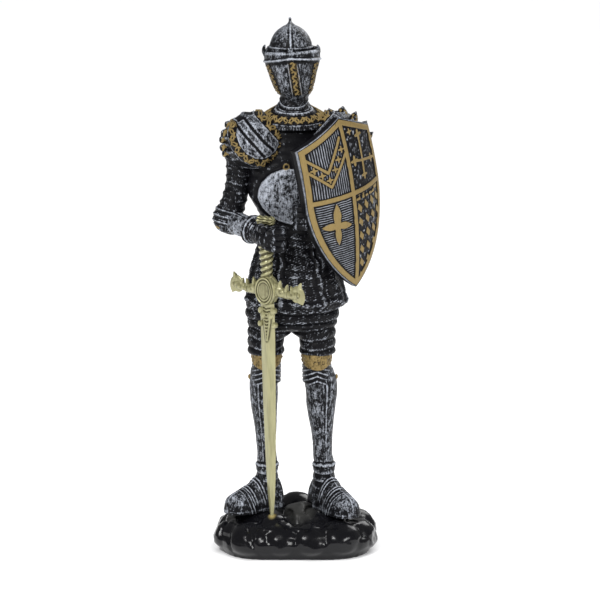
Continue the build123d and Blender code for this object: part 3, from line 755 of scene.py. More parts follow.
@dataclass(frozen=True)
class CastPaint:
    """Black paint on resin, with a silver dry-brush and gold lines.

    Attributes:
        name: The material's name.
        level: Silver everywhere, before the relief's own.
        grain: How strongly the fine grain breaks the silver up.
        patches: How unevenly it lies.
        black: Colour of the black paint.
        bright: Colour of the silver.
        gold: Colour of the gold paint.
        gloss: Clear coat on top.
        shine: How strongly the paint itself reflects.
        bump: Depth of the paint's texture, in millimetres.
    """

    name: str
    level: float = 0.12
    grain: float = 1.1
    patches: float = 0.7
    black: Point = (0.0035, 0.0035, 0.0045)
    bright: Point = (0.44, 0.47, 0.53)
    gold: Point = (0.25, 0.18, 0.072)
    gloss: float = 0.01
    shine: float = 0.10
    bump: float = 0.08

    def build(self, brush: bpy.types.NodeTree) -> bpy.types.Material:
        """Makes the material.

        Args:
            brush: The dry-brush group.

        Returns:
            The material.
        """
        paint, bench, shader = blank_finish(self.name)
        place = bench.add("ShaderNodeTexCoord").outputs["Object"]
        silver = bench.add("ShaderNodeAttribute", {"attribute_name": "silver"}).outputs["Fac"]
        gilt = bench.add("ShaderNodeAttribute", {"attribute_name": "gilt"}).outputs["Fac"]
        coat = bench.add("ShaderNodeGroup", {"node_tree": brush}, Place=place, Silver=silver, Gilt=gilt,
                         Level=self.level, Grain=self.grain, Patches=self.patches, Black=(*self.black, 1.0),
                         Bright=(*self.bright, 1.0), Gold=(*self.gold, 1.0))
        bump = bench.add("ShaderNodeBump", None, Height=coat.outputs["Height"], Distance=self.bump * MM)
        for socket, value in (("Base Color", coat.outputs["Color"]), ("Metallic", coat.outputs["Metal"]),
                              ("Roughness", coat.outputs["Roughness"]), ("Normal", bump.outputs["Normal"])):
            bench.feed(shader, socket, value)
        shader.inputs["Specular IOR Level"].default_value = self.shine
        shader.inputs["Coat Weight"].default_value = self.gloss
        shader.inputs["Coat Roughness"].default_value = 0.25
        return paint


@dataclass(frozen=True)
class Plating:
    """Pale gold plating, with painted shade in its recesses and darker streaks along it.

    Attributes:
        name: The material's name.
        tint: Colour of the plating.
        shade: Colour of the painted shade in the recesses.
        roughness: How dull it is.
    """

    name: str = "pale_gilt_plating"
    tint: Point = (0.31, 0.295, 0.155)
    shade: Point = (0.05, 0.043, 0.012)
    roughness: float = 0.24

    def build(self) -> bpy.types.Material:
        """Makes the material."""
        metal, bench, shader = blank_finish(self.name)
        place = bench.add("ShaderNodeTexCoord").outputs["Object"]
        silver = bench.add("ShaderNodeAttribute", {"attribute_name": "silver"}).outputs["Fac"]
        fine = bench.noise(place, 0.5, 2.0)
        streak = bench.add("ShaderNodeMapping", None, Vector=place, Scale=(1.0, 1.0, 0.12)).outputs["Vector"]
        broad = bench.noise(streak, 1.1, 3.0)
        # Painted shade: where the silver mask falls below 0, in the recesses, the plating darkens towards the
        # shade colour.
        deep = bench.sum("MULTIPLY", bench.sum("SUBTRACT", 0.0, silver), 1.6, clamp=True)
        # Painted shade in the recesses, plus darker streaks along the metal.
        mottle_and_shade = bench.sum("ADD", deep, bench.sum("MULTIPLY", bench.sum("SUBTRACT", broad, 0.43), 1.1),
                         clamp=True)
        bench.feed(shader, "Base Color", bench.mix(mottle_and_shade, (*self.tint, 1.0), (*self.shade, 1.0)))
        dull = bench.plus(self.roughness, fine, 0.12)
        bench.feed(shader, "Roughness", bench.plus(dull, mottle_and_shade, 0.3))
        bump = bench.add("ShaderNodeBump", None, Height=fine, Distance=0.02 * MM)
        bench.feed(shader, "Normal", bump.outputs["Normal"])
        shader.inputs["Metallic"].default_value = 0.45
        shader.inputs["Coat Weight"].default_value = 0.35
        shader.inputs["Coat Roughness"].default_value = 0.12
        return metal


@dataclass(frozen=True)
class GlossRock:
    """Glossy black lacquer on rough stone.

    Attributes:
        name: The material's name.
        black: Colour of the lacquer.
        stone: Colour of the bare stone, where silver is painted.
    """

    name: str = "black_rock_lacquer"
    black: Point = (0.003, 0.003, 0.004)
    stone: Point = (0.020, 0.020, 0.019)

    def build(self) -> bpy.types.Material:
        """Makes the material."""
        lacquer, bench, shader = blank_finish(self.name)
        place = bench.add("ShaderNodeTexCoord").outputs["Object"]
        bare = bench.add("ShaderNodeAttribute", {"attribute_name": "silver"}).outputs["Fac"]
        gilt = bench.add("ShaderNodeAttribute", {"attribute_name": "gilt"}).outputs["Fac"]
        fine = bench.noise(place, 0.8, 4.0)
        broad = bench.noise(place, 5.0, 3.0)
        cover = bench.sum("ADD", bare, bench.sum("MULTIPLY", bench.sum("SUBTRACT", broad, 0.5), 0.3),
                          clamp=True)
        tone = bench.mix(cover, (*self.black, 1.0), (*self.stone, 1.0))
        bench.feed(shader, "Base Color", bench.mix(gilt, tone, (0.30, 0.24, 0.09, 1.0)))
        dull = bench.plus(0.12, cover, 0.22)
        bench.feed(shader, "Roughness", bench.plus(dull, broad, 0.16))
        relief = bench.sum("ADD", bench.sum("MULTIPLY", fine, 0.25), broad)
        bump = bench.add("ShaderNodeBump", None, Height=relief, Distance=0.05 * MM)
        bench.feed(shader, "Normal", bump.outputs["Normal"])
        shader.inputs["Specular IOR Level"].default_value = 0.25
        shader.inputs["Coat Weight"].default_value = 0.10
        shader.inputs["Coat Roughness"].default_value = 0.05
        return lacquer


@dataclass(frozen=True)
class BareSteel:
    """Bright drawn steel wire.

    Attributes:
        name: The material's name.
        tint: Its colour.
    """

    name: str = "steel_wire"
    tint: Point = (0.45, 0.46, 0.48)

    def build(self) -> bpy.types.Material:
        """Makes the material."""
        steel, bench, shader = blank_finish(self.name)
        place = bench.add("ShaderNodeTexCoord").outputs["Object"]
        drawn = bench.noise(place, 0.4, 2.0)
        bench.feed(shader, "Base Color", bench.mix(drawn, (*self.tint, 1.0), (0.3, 0.31, 0.33, 1.0)))
        bench.feed(shader, "Roughness", bench.plus(0.25, drawn, 0.2))
        shader.inputs["Metallic"].default_value = 1.0
        return steel


@dataclass
class Finishes:
    """Every finish on the figure, made once."""

    plate: bpy.types.Material = field(init=False)
    dark_plate: bpy.types.Material = field(init=False)
    mail: bpy.types.Material = field(init=False)
    gold: bpy.types.Material = field(init=False)
    shield: bpy.types.Material = field(init=False)
    leather: bpy.types.Material = field(init=False)
    rock: bpy.types.Material = field(init=False)
    plating: bpy.types.Material = field(init=False)
    steel: bpy.types.Material = field(init=False)

    def __post_init__(self) -> None:
        """Makes the materials."""
        brush = dry_brush_group()
        self.plate = CastPaint("painted_plate", level=0.08, grain=2.1, patches=0.4).build(brush)
        self.dark_plate = CastPaint("painted_dark_plate", level=0.07, grain=2.1, patches=0.4).build(brush)
        self.mail = CastPaint("painted_mail", level=0.02, grain=2.0, patches=0.6).build(brush)
        self.gold = CastPaint("painted_gold_band", level=0.0, grain=2.4, patches=0.4).build(brush)
        self.shield = CastPaint("painted_shield", level=0.0, grain=0.7, patches=0.3, bump=0.04).build(brush)
        self.leather = CastPaint("painted_leather", level=-0.1, grain=0.8, patches=0.4).build(brush)
        self.rock = GlossRock().build()
        self.plating = Plating().build()
        self.steel = BareSteel().build()


# ---- Rock ------------------------------------------------------------------------------------
@dataclass
class RockBase:
    """The rock that the knight stands on.

    Attributes:
        finishes: The finishes.
        boulders: X, Y, Z, radius and squash of the boulders that make it up.
        slabs: Length, width and height of the slabs under them.
        rounding: Radius of the slabs' upright corners.
        voxel: Size of the cells that join it all.
        soles: Height of the shoes' soles.
    """

    finishes: Finishes
    boulders: Sequence[tuple[float, float, float, float, float]] = (
        (0.0, 13.5, 8.2, 7.8, 0.95), (12.0, 12.0, 5.2, 8.2, 0.9), (20.0, 4.5, 4.8, 7.4, 0.95),
        (-14.0, 11.5, 4.6, 8.0, 0.9), (-20.5, 5.5, 4.2, 7.2, 0.9), (20.6, -6.5, 4.6, 6.9, 0.9),
        (14.0, -13.0, 5.0, 7.6, 0.85), (5.0, -13.6, 4.8, 7.6, 0.85), (-5.0, -13.0, 4.6, 8.0, 0.85),
        (-14.5, -12.0, 4.4, 8.4, 0.8), (-20.5, -5.5, 4.2, 7.3, 0.85), (-7.6, -9.4, 8.6, 5.6, 0.9),
    )
    slabs: Sequence[tuple[float, float, float]] = ((47.0, 34.5, 10.2), (52.5, 40.0, 5.6))
    rounding: float = 15.0
    voxel: float = 0.55
    soles: float = 13.0

    def build(self) -> None:
        """Joins the boulders into one rock and cracks its surface."""
        bm = bmesh.new()
        for x, y, z, radius, squash in self.boulders:
            place = Matrix.Translation((x, y, z)) @ Matrix.Diagonal((1.0, 1.0, squash, 1.0))
            bmesh.ops.create_icosphere(bm, subdivisions=4, radius=radius, matrix=place)
        for side in Side:
            low, high = casting_box(f"{side.word}_sabaton")
            middle = (low + high) / 2
            wide = (high - low) / 2
            seat = Matrix.Translation((middle[0], middle[1], self.soles - 5.0))
            seat = seat @ Matrix.Rotation(math.radians(-38.0 * side.value), 4, "Z")
            size = Matrix.Diagonal((0.62 * wide[0] + 1.0, 1.0 * max(wide[0], wide[1]) + 1.6, 5.0, 1.0))
            bmesh.ops.create_icosphere(bm, subdivisions=4, radius=1.0, matrix=seat @ size)
        for slab in self.slabs:
            made = bmesh.ops.create_cube(bm, size=1.0)
            size = Matrix.Diagonal((*slab, 1.0))
            bmesh.ops.transform(bm, matrix=Matrix.Translation((0, 0, slab[2] / 2)) @ size,
                                verts=made["verts"])
            edges = list({edge for vert in made["verts"] for edge in vert.link_edges})
            upright = [e for e in edges if abs(e.verts[0].co.z - e.verts[1].co.z) > 1.0]
            bmesh.ops.bevel(bm, geom=upright, offset=self.rounding, segments=10, affect="EDGES", profile=0.5,
                            material=-1)
        for vert in bm.verts:
            vert.co *= MM
        mesh = bpy.data.meshes.new("rock_blank")
        bm.to_mesh(mesh)
        bm.free()
        blank = bpy.data.objects.new("rock_blank", mesh)
        bpy.context.scene.collection.objects.link(blank)
        remesh = blank.modifiers.new("join", "REMESH")
        remesh.mode = "VOXEL"
        remesh.voxel_size = self.voxel * MM
        remesh.use_smooth_shade = True
        smooth = blank.modifiers.new("round", "SMOOTH")
        smooth.factor = 0.5
        smooth.iterations = 4
        whole = bpy.data.meshes.new_from_object(blank.evaluated_get(bpy.context.evaluated_depsgraph_get()))
        bpy.data.objects.remove(blank)
        self.crack(whole)
        piece("rock_base", [close(whole)], self.finishes.rock, ["rock_base"])

    def crack(self, mesh: bpy.types.Mesh) -> None:
        """Roughens the rock, levels it underneath and paints its stone.

        Args:
            mesh: The joined rock.
        """
        count = len(mesh.vertices)
        place, normal = np.empty(count * 3), np.empty(count * 3)
        mesh.vertices.foreach_get("co", place)
        mesh.vertices.foreach_get("normal", normal)
        place = place.reshape(-1, 3) / MM
        normal = normal.reshape(-1, 3)
        seams = hump(rough(place * (1.0, 1.0, 0.7), 10.0, 5, 2), 0.0, 0.16)
        wrinkles = np.abs(rough(place * (1.0, 1.0, 2.0), 4.5, 3, 2))
        height = 0.45 + 0.7 * rough(place, 7.0, 8, 2) - 0.8 * seams - 0.4 * wrinkles
        top = ramp(place[:, 2], self.soles - 2.0, self.soles + 1.0) * ramp(normal[:, 2], 0.3, 0.9)
        height = height * (1.0 - 0.75 * top)
        slab_x, slab_y = place[:, 0] - 1.6, place[:, 1] + 3.0
        dome = 1.0 - np.hypot(slab_x / 6.4, slab_y / 9.6)
        stone = ramp(dome, 0.0, 0.16) * ramp(normal[:, 2], 0.2, 0.7)
        height += stone * (self.soles + 0.8 + 2.6 * np.clip(dome, 0.0, 1.0) - place[:, 2]) * 0.85
        low = ramp(place[:, 2], 1.2, 4.5)
        place = place + normal * (height * low)[:, None]
        inward = ramp(-place[:, 2], -3.4, 0.0)
        place[:, 0] *= 1.0 - 0.05 * inward
        place[:, 1] *= 1.0 - 0.06 * inward
        place[:, 2] = np.maximum(place[:, 2], 0.0)
        # A gold patch on the rock at the sword's point.
        foot_x, foot_y = place[:, 0] + 8.1, place[:, 1] + 10.9
        gold_patch = ramp(1.0 - np.hypot(foot_x / 1.6, foot_y / 2.6), 0.0, 0.6)
        mesh.vertices.foreach_set("co", (place * MM).reshape(-1))
        for word, values in (("silver", stone + 0.15 * ramp(height, 0.5, 1.2)), ("gilt", 0.8 * gold_patch)):
            mesh.attributes.new(word, "FLOAT", "POINT").data.foreach_set("value", values)


# ---- Legs ------------------------------------------------------------------------------------
@dataclass
class Leg:
    """One leg: shoe, greave, knee cop and thigh.

    Attributes:
        side: Which leg.
        finishes: The finishes.
        shin: Z, X, half width and depth of the greave.
        toe: Length of the foot in front of the ankle.
        splay: Direction of the foot in degrees from the front, towards the knight's left.
        ankle_y: Y of the ankle.
        heel: Length of the foot behind it.
        sole: Height of the sole.
        stud_at: Height of the knee's stud.
    """

    side: Side
    finishes: Finishes
    shin: Sequence[tuple[float, float, float, float]]
    toe: float
    splay: float
    ankle_y: float = 2.0
    heel: float = 5.4
    sole: float = 13.0
    stud_at: float = 59.0

    def build(self) -> None:
        """Builds the leg from the ground up."""
        self.build_shoe()
        self.build_greave()
        self.build_knee()
        self.build_thigh()

    def build_shoe(self) -> None:
        """The armoured shoe: an arched foot of overlapping lames, and the ankle."""
        angle = math.radians(self.splay - 90.0)
        low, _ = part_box(f"{self.side.word}_greave")
        x = self.shin[0][1]
        pose = Pose((x, self.ankle_y, self.sole), (math.cos(angle), math.sin(angle), 0.0))
        profile = (
            (-1.0, 2.4, 4.5), (-0.86, 3.7, 8.4), (-0.45, 4.2, 11.6), (0.0, 4.2, 13.4), (0.16, 4.2, 13.0),
            (0.3, 4.5, 10.9), (0.45, 4.9, 9.0), (0.62, 5.1, 7.6), (0.8, 4.8, 6.6), (0.92, 3.9, 5.3),
            (0.99, 2.0, 3.2),
        )
        stations = []
        for share, half, tall in profile:
            distance = share * (self.heel if share < 0 else self.toe)
            stations.append((distance, 0.0, 0.0, half, tall, 0.05))
        foot = Form(stations, across=(0.0, -1.0, 0.0), level=False, cap=0.02, pose=pose, power=2.15)

        def lames(clay: Clay) -> None:
            """Overlapping plates across the foot, a smooth toe cap with silver on its top as a painted
            highlight, and a keel.
            """
            toe_start = 0.60 * self.toe
            slanted = clay.x - 0.30 * clay.z
            rows = (clay.x < toe_start) & (clay.x > 0.5)
            share = (slanted / 4.2) % 1.0
            lip = np.maximum(hump(share, 0.35, 0.11), hump(share, 0.62, 0.10)) * rows * ramp(clay.z, 1.6, 4.0)
            clay.height += 0.26 * lip
            clay.silver += 0.15 * lip * ramp(clay.z, 2.0, 7.0)
            clay.line(slanted, toe_start - 0.30 * 7.0, 0.35, 0.26, 0.1)
            clay.line(slanted, toe_start - 0.30 * 7.0 + 1.3, 0.25, 0.18, 0.1)
            # Silver on the top of the toe cap, partly dry-brush and partly a painted highlight.
            cap_top_highlight = ramp(clay.x, toe_start, toe_start + 3.0) * ramp(clay.z, 1.4, 4.6)
            clay.silver += 0.22 * cap_top_highlight
            clay.line(np.abs(clay.y), 0.0, 0.55, 0.14, 0.05)
            clay.line(clay.z, 0.9, 0.5, 0.10, 0.0)
            clay.silver += 0.06
            clay.hammered(2.2, 0.10, 0.24, 3)

        ankle_z = low[2] / MM
        ankle = Form([
            (x, self.ankle_y + 0.4, self.sole + 6.0, 3.9, 4.4, 4.5),
            (x, self.ankle_y + 0.2, self.sole + 10.0, 3.7, 4.2, 4.4),
            (x, self.ankle_y, ankle_z - 1.6, 3.5, 4.0, 4.1),
            (x, self.ankle_y, ankle_z + 0.6, 3.9, 4.3, 4.3),
        ])

        def bands(clay: Clay) -> None:
            """Narrow bands round the ankle."""
            clay.lames(clay.z + 0.8 * np.cos(clay.turn), 2.6, 0.22, 0.15, 0.6)
            clay.hammered(1.6, 0.1, 0.25, 4)

        name = f"{self.side.word}_sabaton"
        meshes = [work(name, foot, 150, 170, lames), work(name, ankle, 120, 50, bands)]
        piece(name, meshes, self.finishes.plate, [name])

    def build_greave(self) -> None:
        """The shin plate, ridged down the front, with a scalloped lower edge."""
        stations = []
        for z, x, half, deep in self.shin:
            share = (z - self.shin[0][0]) / (self.shin[-1][0] - self.shin[0][0])
            y = self.ankle_y * (1.0 - share) + 0.9 * math.sin(math.pi * share)
            stations.append((x, y, z, half, deep, deep * 1.02))
        form = Form(stations, power=2.1)
        lean = 0.35 * self.side.value

        def plate(clay: Clay) -> None:
            """A front ridge, side seams, long brush strokes and a flared hem."""
            clay.silver += 0.17
            clay.line(clay.turn, lean, 0.09, 0.18, 0.0)
            for seam in (-1.75, 1.75):
                clay.line(clay.turn, seam + 0.4 * lean, 0.08, -0.2, 0.3)
                clay.line(clay.turn, seam + 0.4 * lean - math.copysign(0.18, seam), 0.07, 0.12, 0.25)
            strokes = grain(clay.place * (1.0, 1.0, 0.22), 1.1, 6)
            strokes = strokes + 0.7 * grain(clay.place * (1.0, 1.0, 0.4), 0.6, 8)
            clay.silver += 0.07 * strokes
            clay.hammered(1.2, 0.10, 0.12, 2)
            hem = clay.z - self.shin[0][0] - 0.35 * np.abs(np.sin(4.0 * clay.turn))
            clay.line(hem, 0.7, 0.5, 0.35, 0.1)
            clay.line(hem, 1.7, 0.4, -0.2, 0.3)

        name = f"{self.side.word}_greave"
        piece(name, [work(name, form, 150, 170, plate)], self.finishes.dark_plate, [name])

    def build_knee(self) -> None:
        """The knee cop, gold above a curved lower edge and lames below it, and its stud."""
        name = f"{self.side.word}_poleyn"
        low, high = casting_box(name)
        x, y = (low[:2] + high[:2]) / 2
        half, deep = (high[:2] - low[:2]) / 2
        bottom, top = low[2] - 3.6, high[2] + 0.3
        form = Form([
            (x + 0.25 * self.side.value, y, bottom, half - 0.45, deep - 0.5, deep - 0.6),
            (x + 0.1 * self.side.value, y, bottom + 3.4, half - 0.5, deep - 0.2, deep - 0.4),
            (x, y, low[2] + 3.0, half - 0.6, deep + 0.2, deep - 0.1),
            (x, y, top, half - 0.6, deep + 0.1, deep - 0.1),
        ])

        def cop(clay: Clay) -> None:
            """A hammered gold band over overlapping lames."""
            lower = low[2] + 1.5 + 3.0 * (1.0 - np.cos(np.clip(clay.turn, -1.6, 1.6)))
            gold = ramp(clay.z, lower - 0.15, lower + 0.15)
            clay.gilt += gold
            dents = np.abs(rough(clay.place, 1.1, 12, 2)) * 2.2 - 0.5
            clay.height += gold * (0.45 + 0.3 * dents)
            clay.gilt += gold * (0.35 * dents - 0.22)
            below = (1.0 - gold) * (clay.z + 2.2 * np.abs(np.sin(clay.turn)) * np.sign(np.cos(clay.turn)))
            share = (below / 1.7) % 1.0
            lip = hump(share, 0.5, 0.32) * (1.0 - gold)
            clay.height += 0.26 * lip
            clay.silver += 0.3 * lip

        piece(name, [work(name, form, 150, 70, cop)], self.finishes.gold, [name])
        stud_x = self.shin[-2][1] + self.side.value * (self.shin[-2][2] - 0.25)
        stud = Form([
            (0, 0, 0, 0.85, 0.85, 0.85), (0, 0, 0.5, 0.8, 0.8, 0.8), (0, 0, 0.8, 0.3, 0.3, 0.3),
        ], cap=0.1, pose=Pose((stud_x, 0.4, self.stud_at), (0, 1, 0), (self.side.value, 0, 0)))

        def gilded(clay: Clay) -> None:
            """A gold stud."""
            clay.gilt += 1.0

        piece(f"{self.side.word}_knee_stud", [work("stud", stud, 20, 14, gilded)], self.finishes.gold)

    def build_thigh(self) -> None:
        """The mailed thigh, in thick overlapping rolls."""
        name = f"{self.side.word}_cuisse"
        low, high = casting_box(name)
        x, y = (low[:2] + high[:2]) / 2
        half, deep = (high[:2] - low[:2]) / 2 - 0.55
        slim = half - 0.25
        inward = -self.side.value
        form = Form([(x - 0.2 * inward, y, low[2] + 0.8, slim, deep, deep),
                     (x - 0.2 * inward, y, high[2] - 3.0, slim, deep, deep),
                     (x + 0.3 * inward, y, high[2] - 1.2, slim + 0.5, deep, deep),
                     (x + 1.1 * inward, y, high[2] - 0.1, slim + 1.3, deep + 0.2, deep + 0.2),
                     (x + 1.8 * inward, y, high[2] + 1.4, slim + 2.0, deep + 0.2, deep + 0.2),
                     (x + 1.2 * inward, y, high[2] + 4.2, slim + 0.9, deep - 0.5, deep - 0.5)])
        piece(name, [work(name, form, 170, 80, MailRolls(3.3, 0.75, 2.0 + self.side.value, 0.30).lay)],
              self.finishes.mail, [name])


@dataclass
class MailRolls:
    """Rows of mail sagging over each other.

    Attributes:
        pitch: Height of a row.
        height: How far a row stands out.
        sway: How unevenly the rows run.
        silver: How much silver their lips take.
    """

    pitch: float
    height: float
    sway: float = 1.0
    silver: float = 0.55

    def lay(self, clay: Clay) -> None:
        """Works the rows into a surface.

        Args:
            clay: The surface.
        """
        drift = 0.55 * np.sin(clay.turn * 2.0 + self.sway) + 0.5 * grain(clay.place, 6.0, int(3 + self.sway))
        drift = drift + 0.25 * np.abs(np.sin(clay.turn * 5.0 + self.sway))
        share = ((clay.z + drift) / self.pitch) % 1.0
        roll = np.sqrt(np.clip(1.0 - (2.0 * share - 1.0) ** 2, 0.0, 1.0))
        clay.height += self.height * (roll - 0.35)
        lip = hump(share, 0.26, 0.15)
        uneven = 1.0 + 0.9 * grain(clay.place, 2.4, 8)
        clay.silver += self.silver * lip * uneven - 0.08
        row = np.floor((clay.z + drift) / self.pitch)
        rings = np.sin(clay.turn * 42.0 + 2.0 * row) * np.sin(clay.z * 7.4)
        clay.height += 0.06 * rings
        clay.silver += 0.08 * rings
        clay.hammered(1.2, 0.12, 0.12, 14)


# ---- Trunk -----------------------------------------------------------------------------------
@dataclass
class Trunk:
    """Hips, skirt, breast and collar."""

    finishes: Finishes

    def build(self) -> None:
        """Builds the trunk from the hips up."""
        self.build_hips()
        self.build_skirt()
        self.build_torso()
        self.build_collar()

    def build_hips(self) -> None:
        """The mailed hips, arched between the thighs."""
        low, high = casting_box("breeches")
        x, y = (low[:2] + high[:2]) / 2
        half, deep = (high[:2] - low[:2]) / 2 - 0.4
        form = Form([
            (x, y, low[2] + 1.6, half - 5.0, deep - 2.6, deep - 2.6),
            (x, y, low[2] + 2.4, half - 1.4, deep - 0.7, deep - 0.8),
            (x, y, low[2] + 4.2, half, deep, deep),
            (x, y, high[2] + 1.0, half + 0.3, deep + 0.4, deep + 0.4),
        ], power=2.4)
        piece("breeches", [work("breeches", form, 200, 90, MailRolls(3.3, 0.8, 1.0, 0.28).lay)],
              self.finishes.mail, ["breeches"])

    def build_skirt(self) -> None:
        """The flared mail skirt with its front panel."""
        low, high = casting_box("mail_skirt")
        form = Form([
            (0.0, 0, low[2] - 0.6, 15.2, 10.6, 10.6), (0.0, 0, low[2] + 1.0, 16.6, 11.9, 11.8),
            (-0.1, 0, low[2] + 4.5, 16.5, 11.8, 11.9), (-0.4, 0, low[2] + 9.0, 15.6, 11.4, 11.2),
            (-0.6, 0, low[2] + 14.0, 14.2, 10.4, 10.2), (-0.8, 0, low[2] + 19.0, 12.4, 9.0, 9.0),
            (-0.8, 0, high[2] + 0.6, 10.8, 7.9, 7.9),
        ], power=2.2)
        pitch = 2.5

        def skirt(clay: Clay) -> None:
            """Mail rows, a front panel's edges and a thick hem."""
            drift = 1.2 * np.sin(clay.turn * 3.0 + 0.7) + 0.8 * grain(clay.place, 7.0, 4)
            share = ((clay.z + drift) / pitch) % 1.0
            roll = np.sqrt(np.clip(1.0 - (2.0 * share - 1.0) ** 2, 0.0, 1.0))
            folds = np.sin(clay.turn * 13.0 + 2.0 * grain(clay.place, 6.0, 9))
            clay.height += 0.30 * (roll - 0.3) + 0.28 * folds
            clay.silver += 0.16 * hump(share, 0.26, 0.16) * (1.0 + 1.3 * grain(clay.place, 3.0, 2)) - 0.05
            rings = np.sin(clay.turn * 55.0 + 1.7 * np.floor((clay.z + drift) / pitch)) * np.sin(clay.z * 8.4)
            clay.height += 0.09 * rings
            clay.silver += 0.08 * rings
            for edge in (-0.30, 0.52):
                clay.line(clay.turn + 0.03 * np.sin(clay.z), edge, 0.06, 0.4, 0.0)
                clay.line(clay.turn + 0.03 * np.sin(clay.z), edge + 0.10, 0.05, -0.3, 0.3)
            hem = clay.z - low[2] - 1.2 + 0.6 * np.sin(clay.turn * 6.0)
            clay.line(hem, 0.6, 1.1, 0.5, 0.1)
            clay.hammered(1.3, 0.16, 0.12, 15)

        piece("mail_skirt", [work("mail_skirt", form, 260, 190, skirt)], self.finishes.mail,
              ["mail_skirt"])

    def build_torso(self) -> None:
        """The breast and back: a bright rounded breastplate under a dark upper chest."""
        low, high = casting_box("torso")
        form = Form([
            (-0.8, 0, low[2] - 0.5, 10.7, 7.8, 7.6), (-0.8, 0, low[2] + 4.0, 10.5, 8.2, 8.0),
            (-1.4, 0, low[2] + 8.5, 11.8, 9.6, 8.8), (-2.1, 0, low[2] + 14.0, 14.0, 11.2, 9.8),
            (-2.0, 0, low[2] + 20.0, 13.9, 11.4, 10.2), (-1.8, 0, low[2] + 25.0, 14.0, 10.4, 10.0),
            (-1.2, 0, low[2] + 31.0, 14.0, 9.2, 9.0), (-0.8, 0, low[2] + 35.5, 12.4, 8.4, 8.2),
            (-0.8, 0, high[2] + 0.2, 9.8, 7.6, 7.6),
        ], power=2.1)

        def breast(clay: Clay) -> None:
            """Hammered silver lobes, and folds of dark cloth above and below them."""
            front = ramp(np.cos(clay.turn), -0.05, 0.35)
            lobe_x, lobe_z = (clay.x + 1.8) / 10.6, (clay.z - low[2] - 13.6) / 9.4
            lobe_x = lobe_x + 0.22 * np.minimum(lobe_z, 0.0)
            away = np.hypot(lobe_x, lobe_z)
            plate = ramp(-away, -1.06, -0.94) * front
            clay.height += 1.1 * plate - 0.3 * hump(away, 1.1, 0.1) * front
            clay.silver += plate * (0.34 + 0.25 * rough(clay.place, 3.2, 21, 3))
            clay.height += plate * 0.18 * rough(clay.place, 3.2, 21, 3)
            cloth = 1.0 - plate
            waves = np.sin((clay.z + 1.2 * grain(clay.place, 5.0, 3)) * 2.4)
            clay.height += cloth * 0.06 * waves
            clay.silver -= cloth * 0.16
            buckle = hump(np.hypot(clay.x + 3.2, clay.z - low[2] - 23.6), 0.9, 0.6) * front
            clay.height += 0.5 * buckle
            clay.gilt += buckle
            clay.line(clay.z + 0.02 * clay.x**2, low[2] + 34.5, 0.5, 0.12, 0.0)
            clay.hammered(1.1, 0.08, 0.15, 16)

        piece("torso", [work("torso", form, 220, 220, breast)], self.finishes.plate, ["torso"])

    def build_collar(self) -> None:
        """The stepped collar with its gold chain border."""
        low, high = casting_box("gorget")
        form = Form([
            (-0.6, 0, low[2] - 2.6, 12.6, 10.6, 9.6), (-0.6, 0, low[2] - 0.6, 12.2, 10.0, 9.2),
            (-0.6, 0, low[2] + 1.4, 11.2, 8.8, 8.2), (-0.7, 0, low[2] + 3.0, 8.6, 7.3, 6.9),
            (-0.8, 0, low[2] + 4.6, 5.8, 5.7, 5.6), (-0.6, 0, high[2] + 1.8, 4.3, 4.8, 4.8),
        ])

        def collar(clay: Clay) -> None:
            """Two steps, then a chain of gold links along the rim."""
            clay.silver += 0.10
            sag = clay.z - 2.6 * (1.0 - np.cos(clay.turn))
            for step in (low[2] + 2.6, low[2] + 4.4):
                clay.line(sag, step, 0.4, 0.30, 0.12)
                clay.line(sag, step - 0.75, 0.4, -0.3, 0.4)
            off = sag - (low[2] + 0.55)
            links = chain_links(clay.turn * 11.0, off, 3.5, 1.25) * ramp(-np.abs(off), -1.25, -0.9)
            trough = ramp(-np.abs(off), -1.4, -1.0)
            clay.silver -= 0.6 * trough
            clay.height += 0.5 * links - 0.12 * trough
            clay.gilt += links * (1.15 + 0.5 * grain(clay.place, 1.3, 3))
            clay.line(off, -1.75, 0.35, 0.15, 0.0)
            clay.hammered(1.8, 0.1, 0.22, 17)

        piece("gorget", [work("gorget", form, 300, 110, collar)], self.finishes.plate,
              ["gorget"])


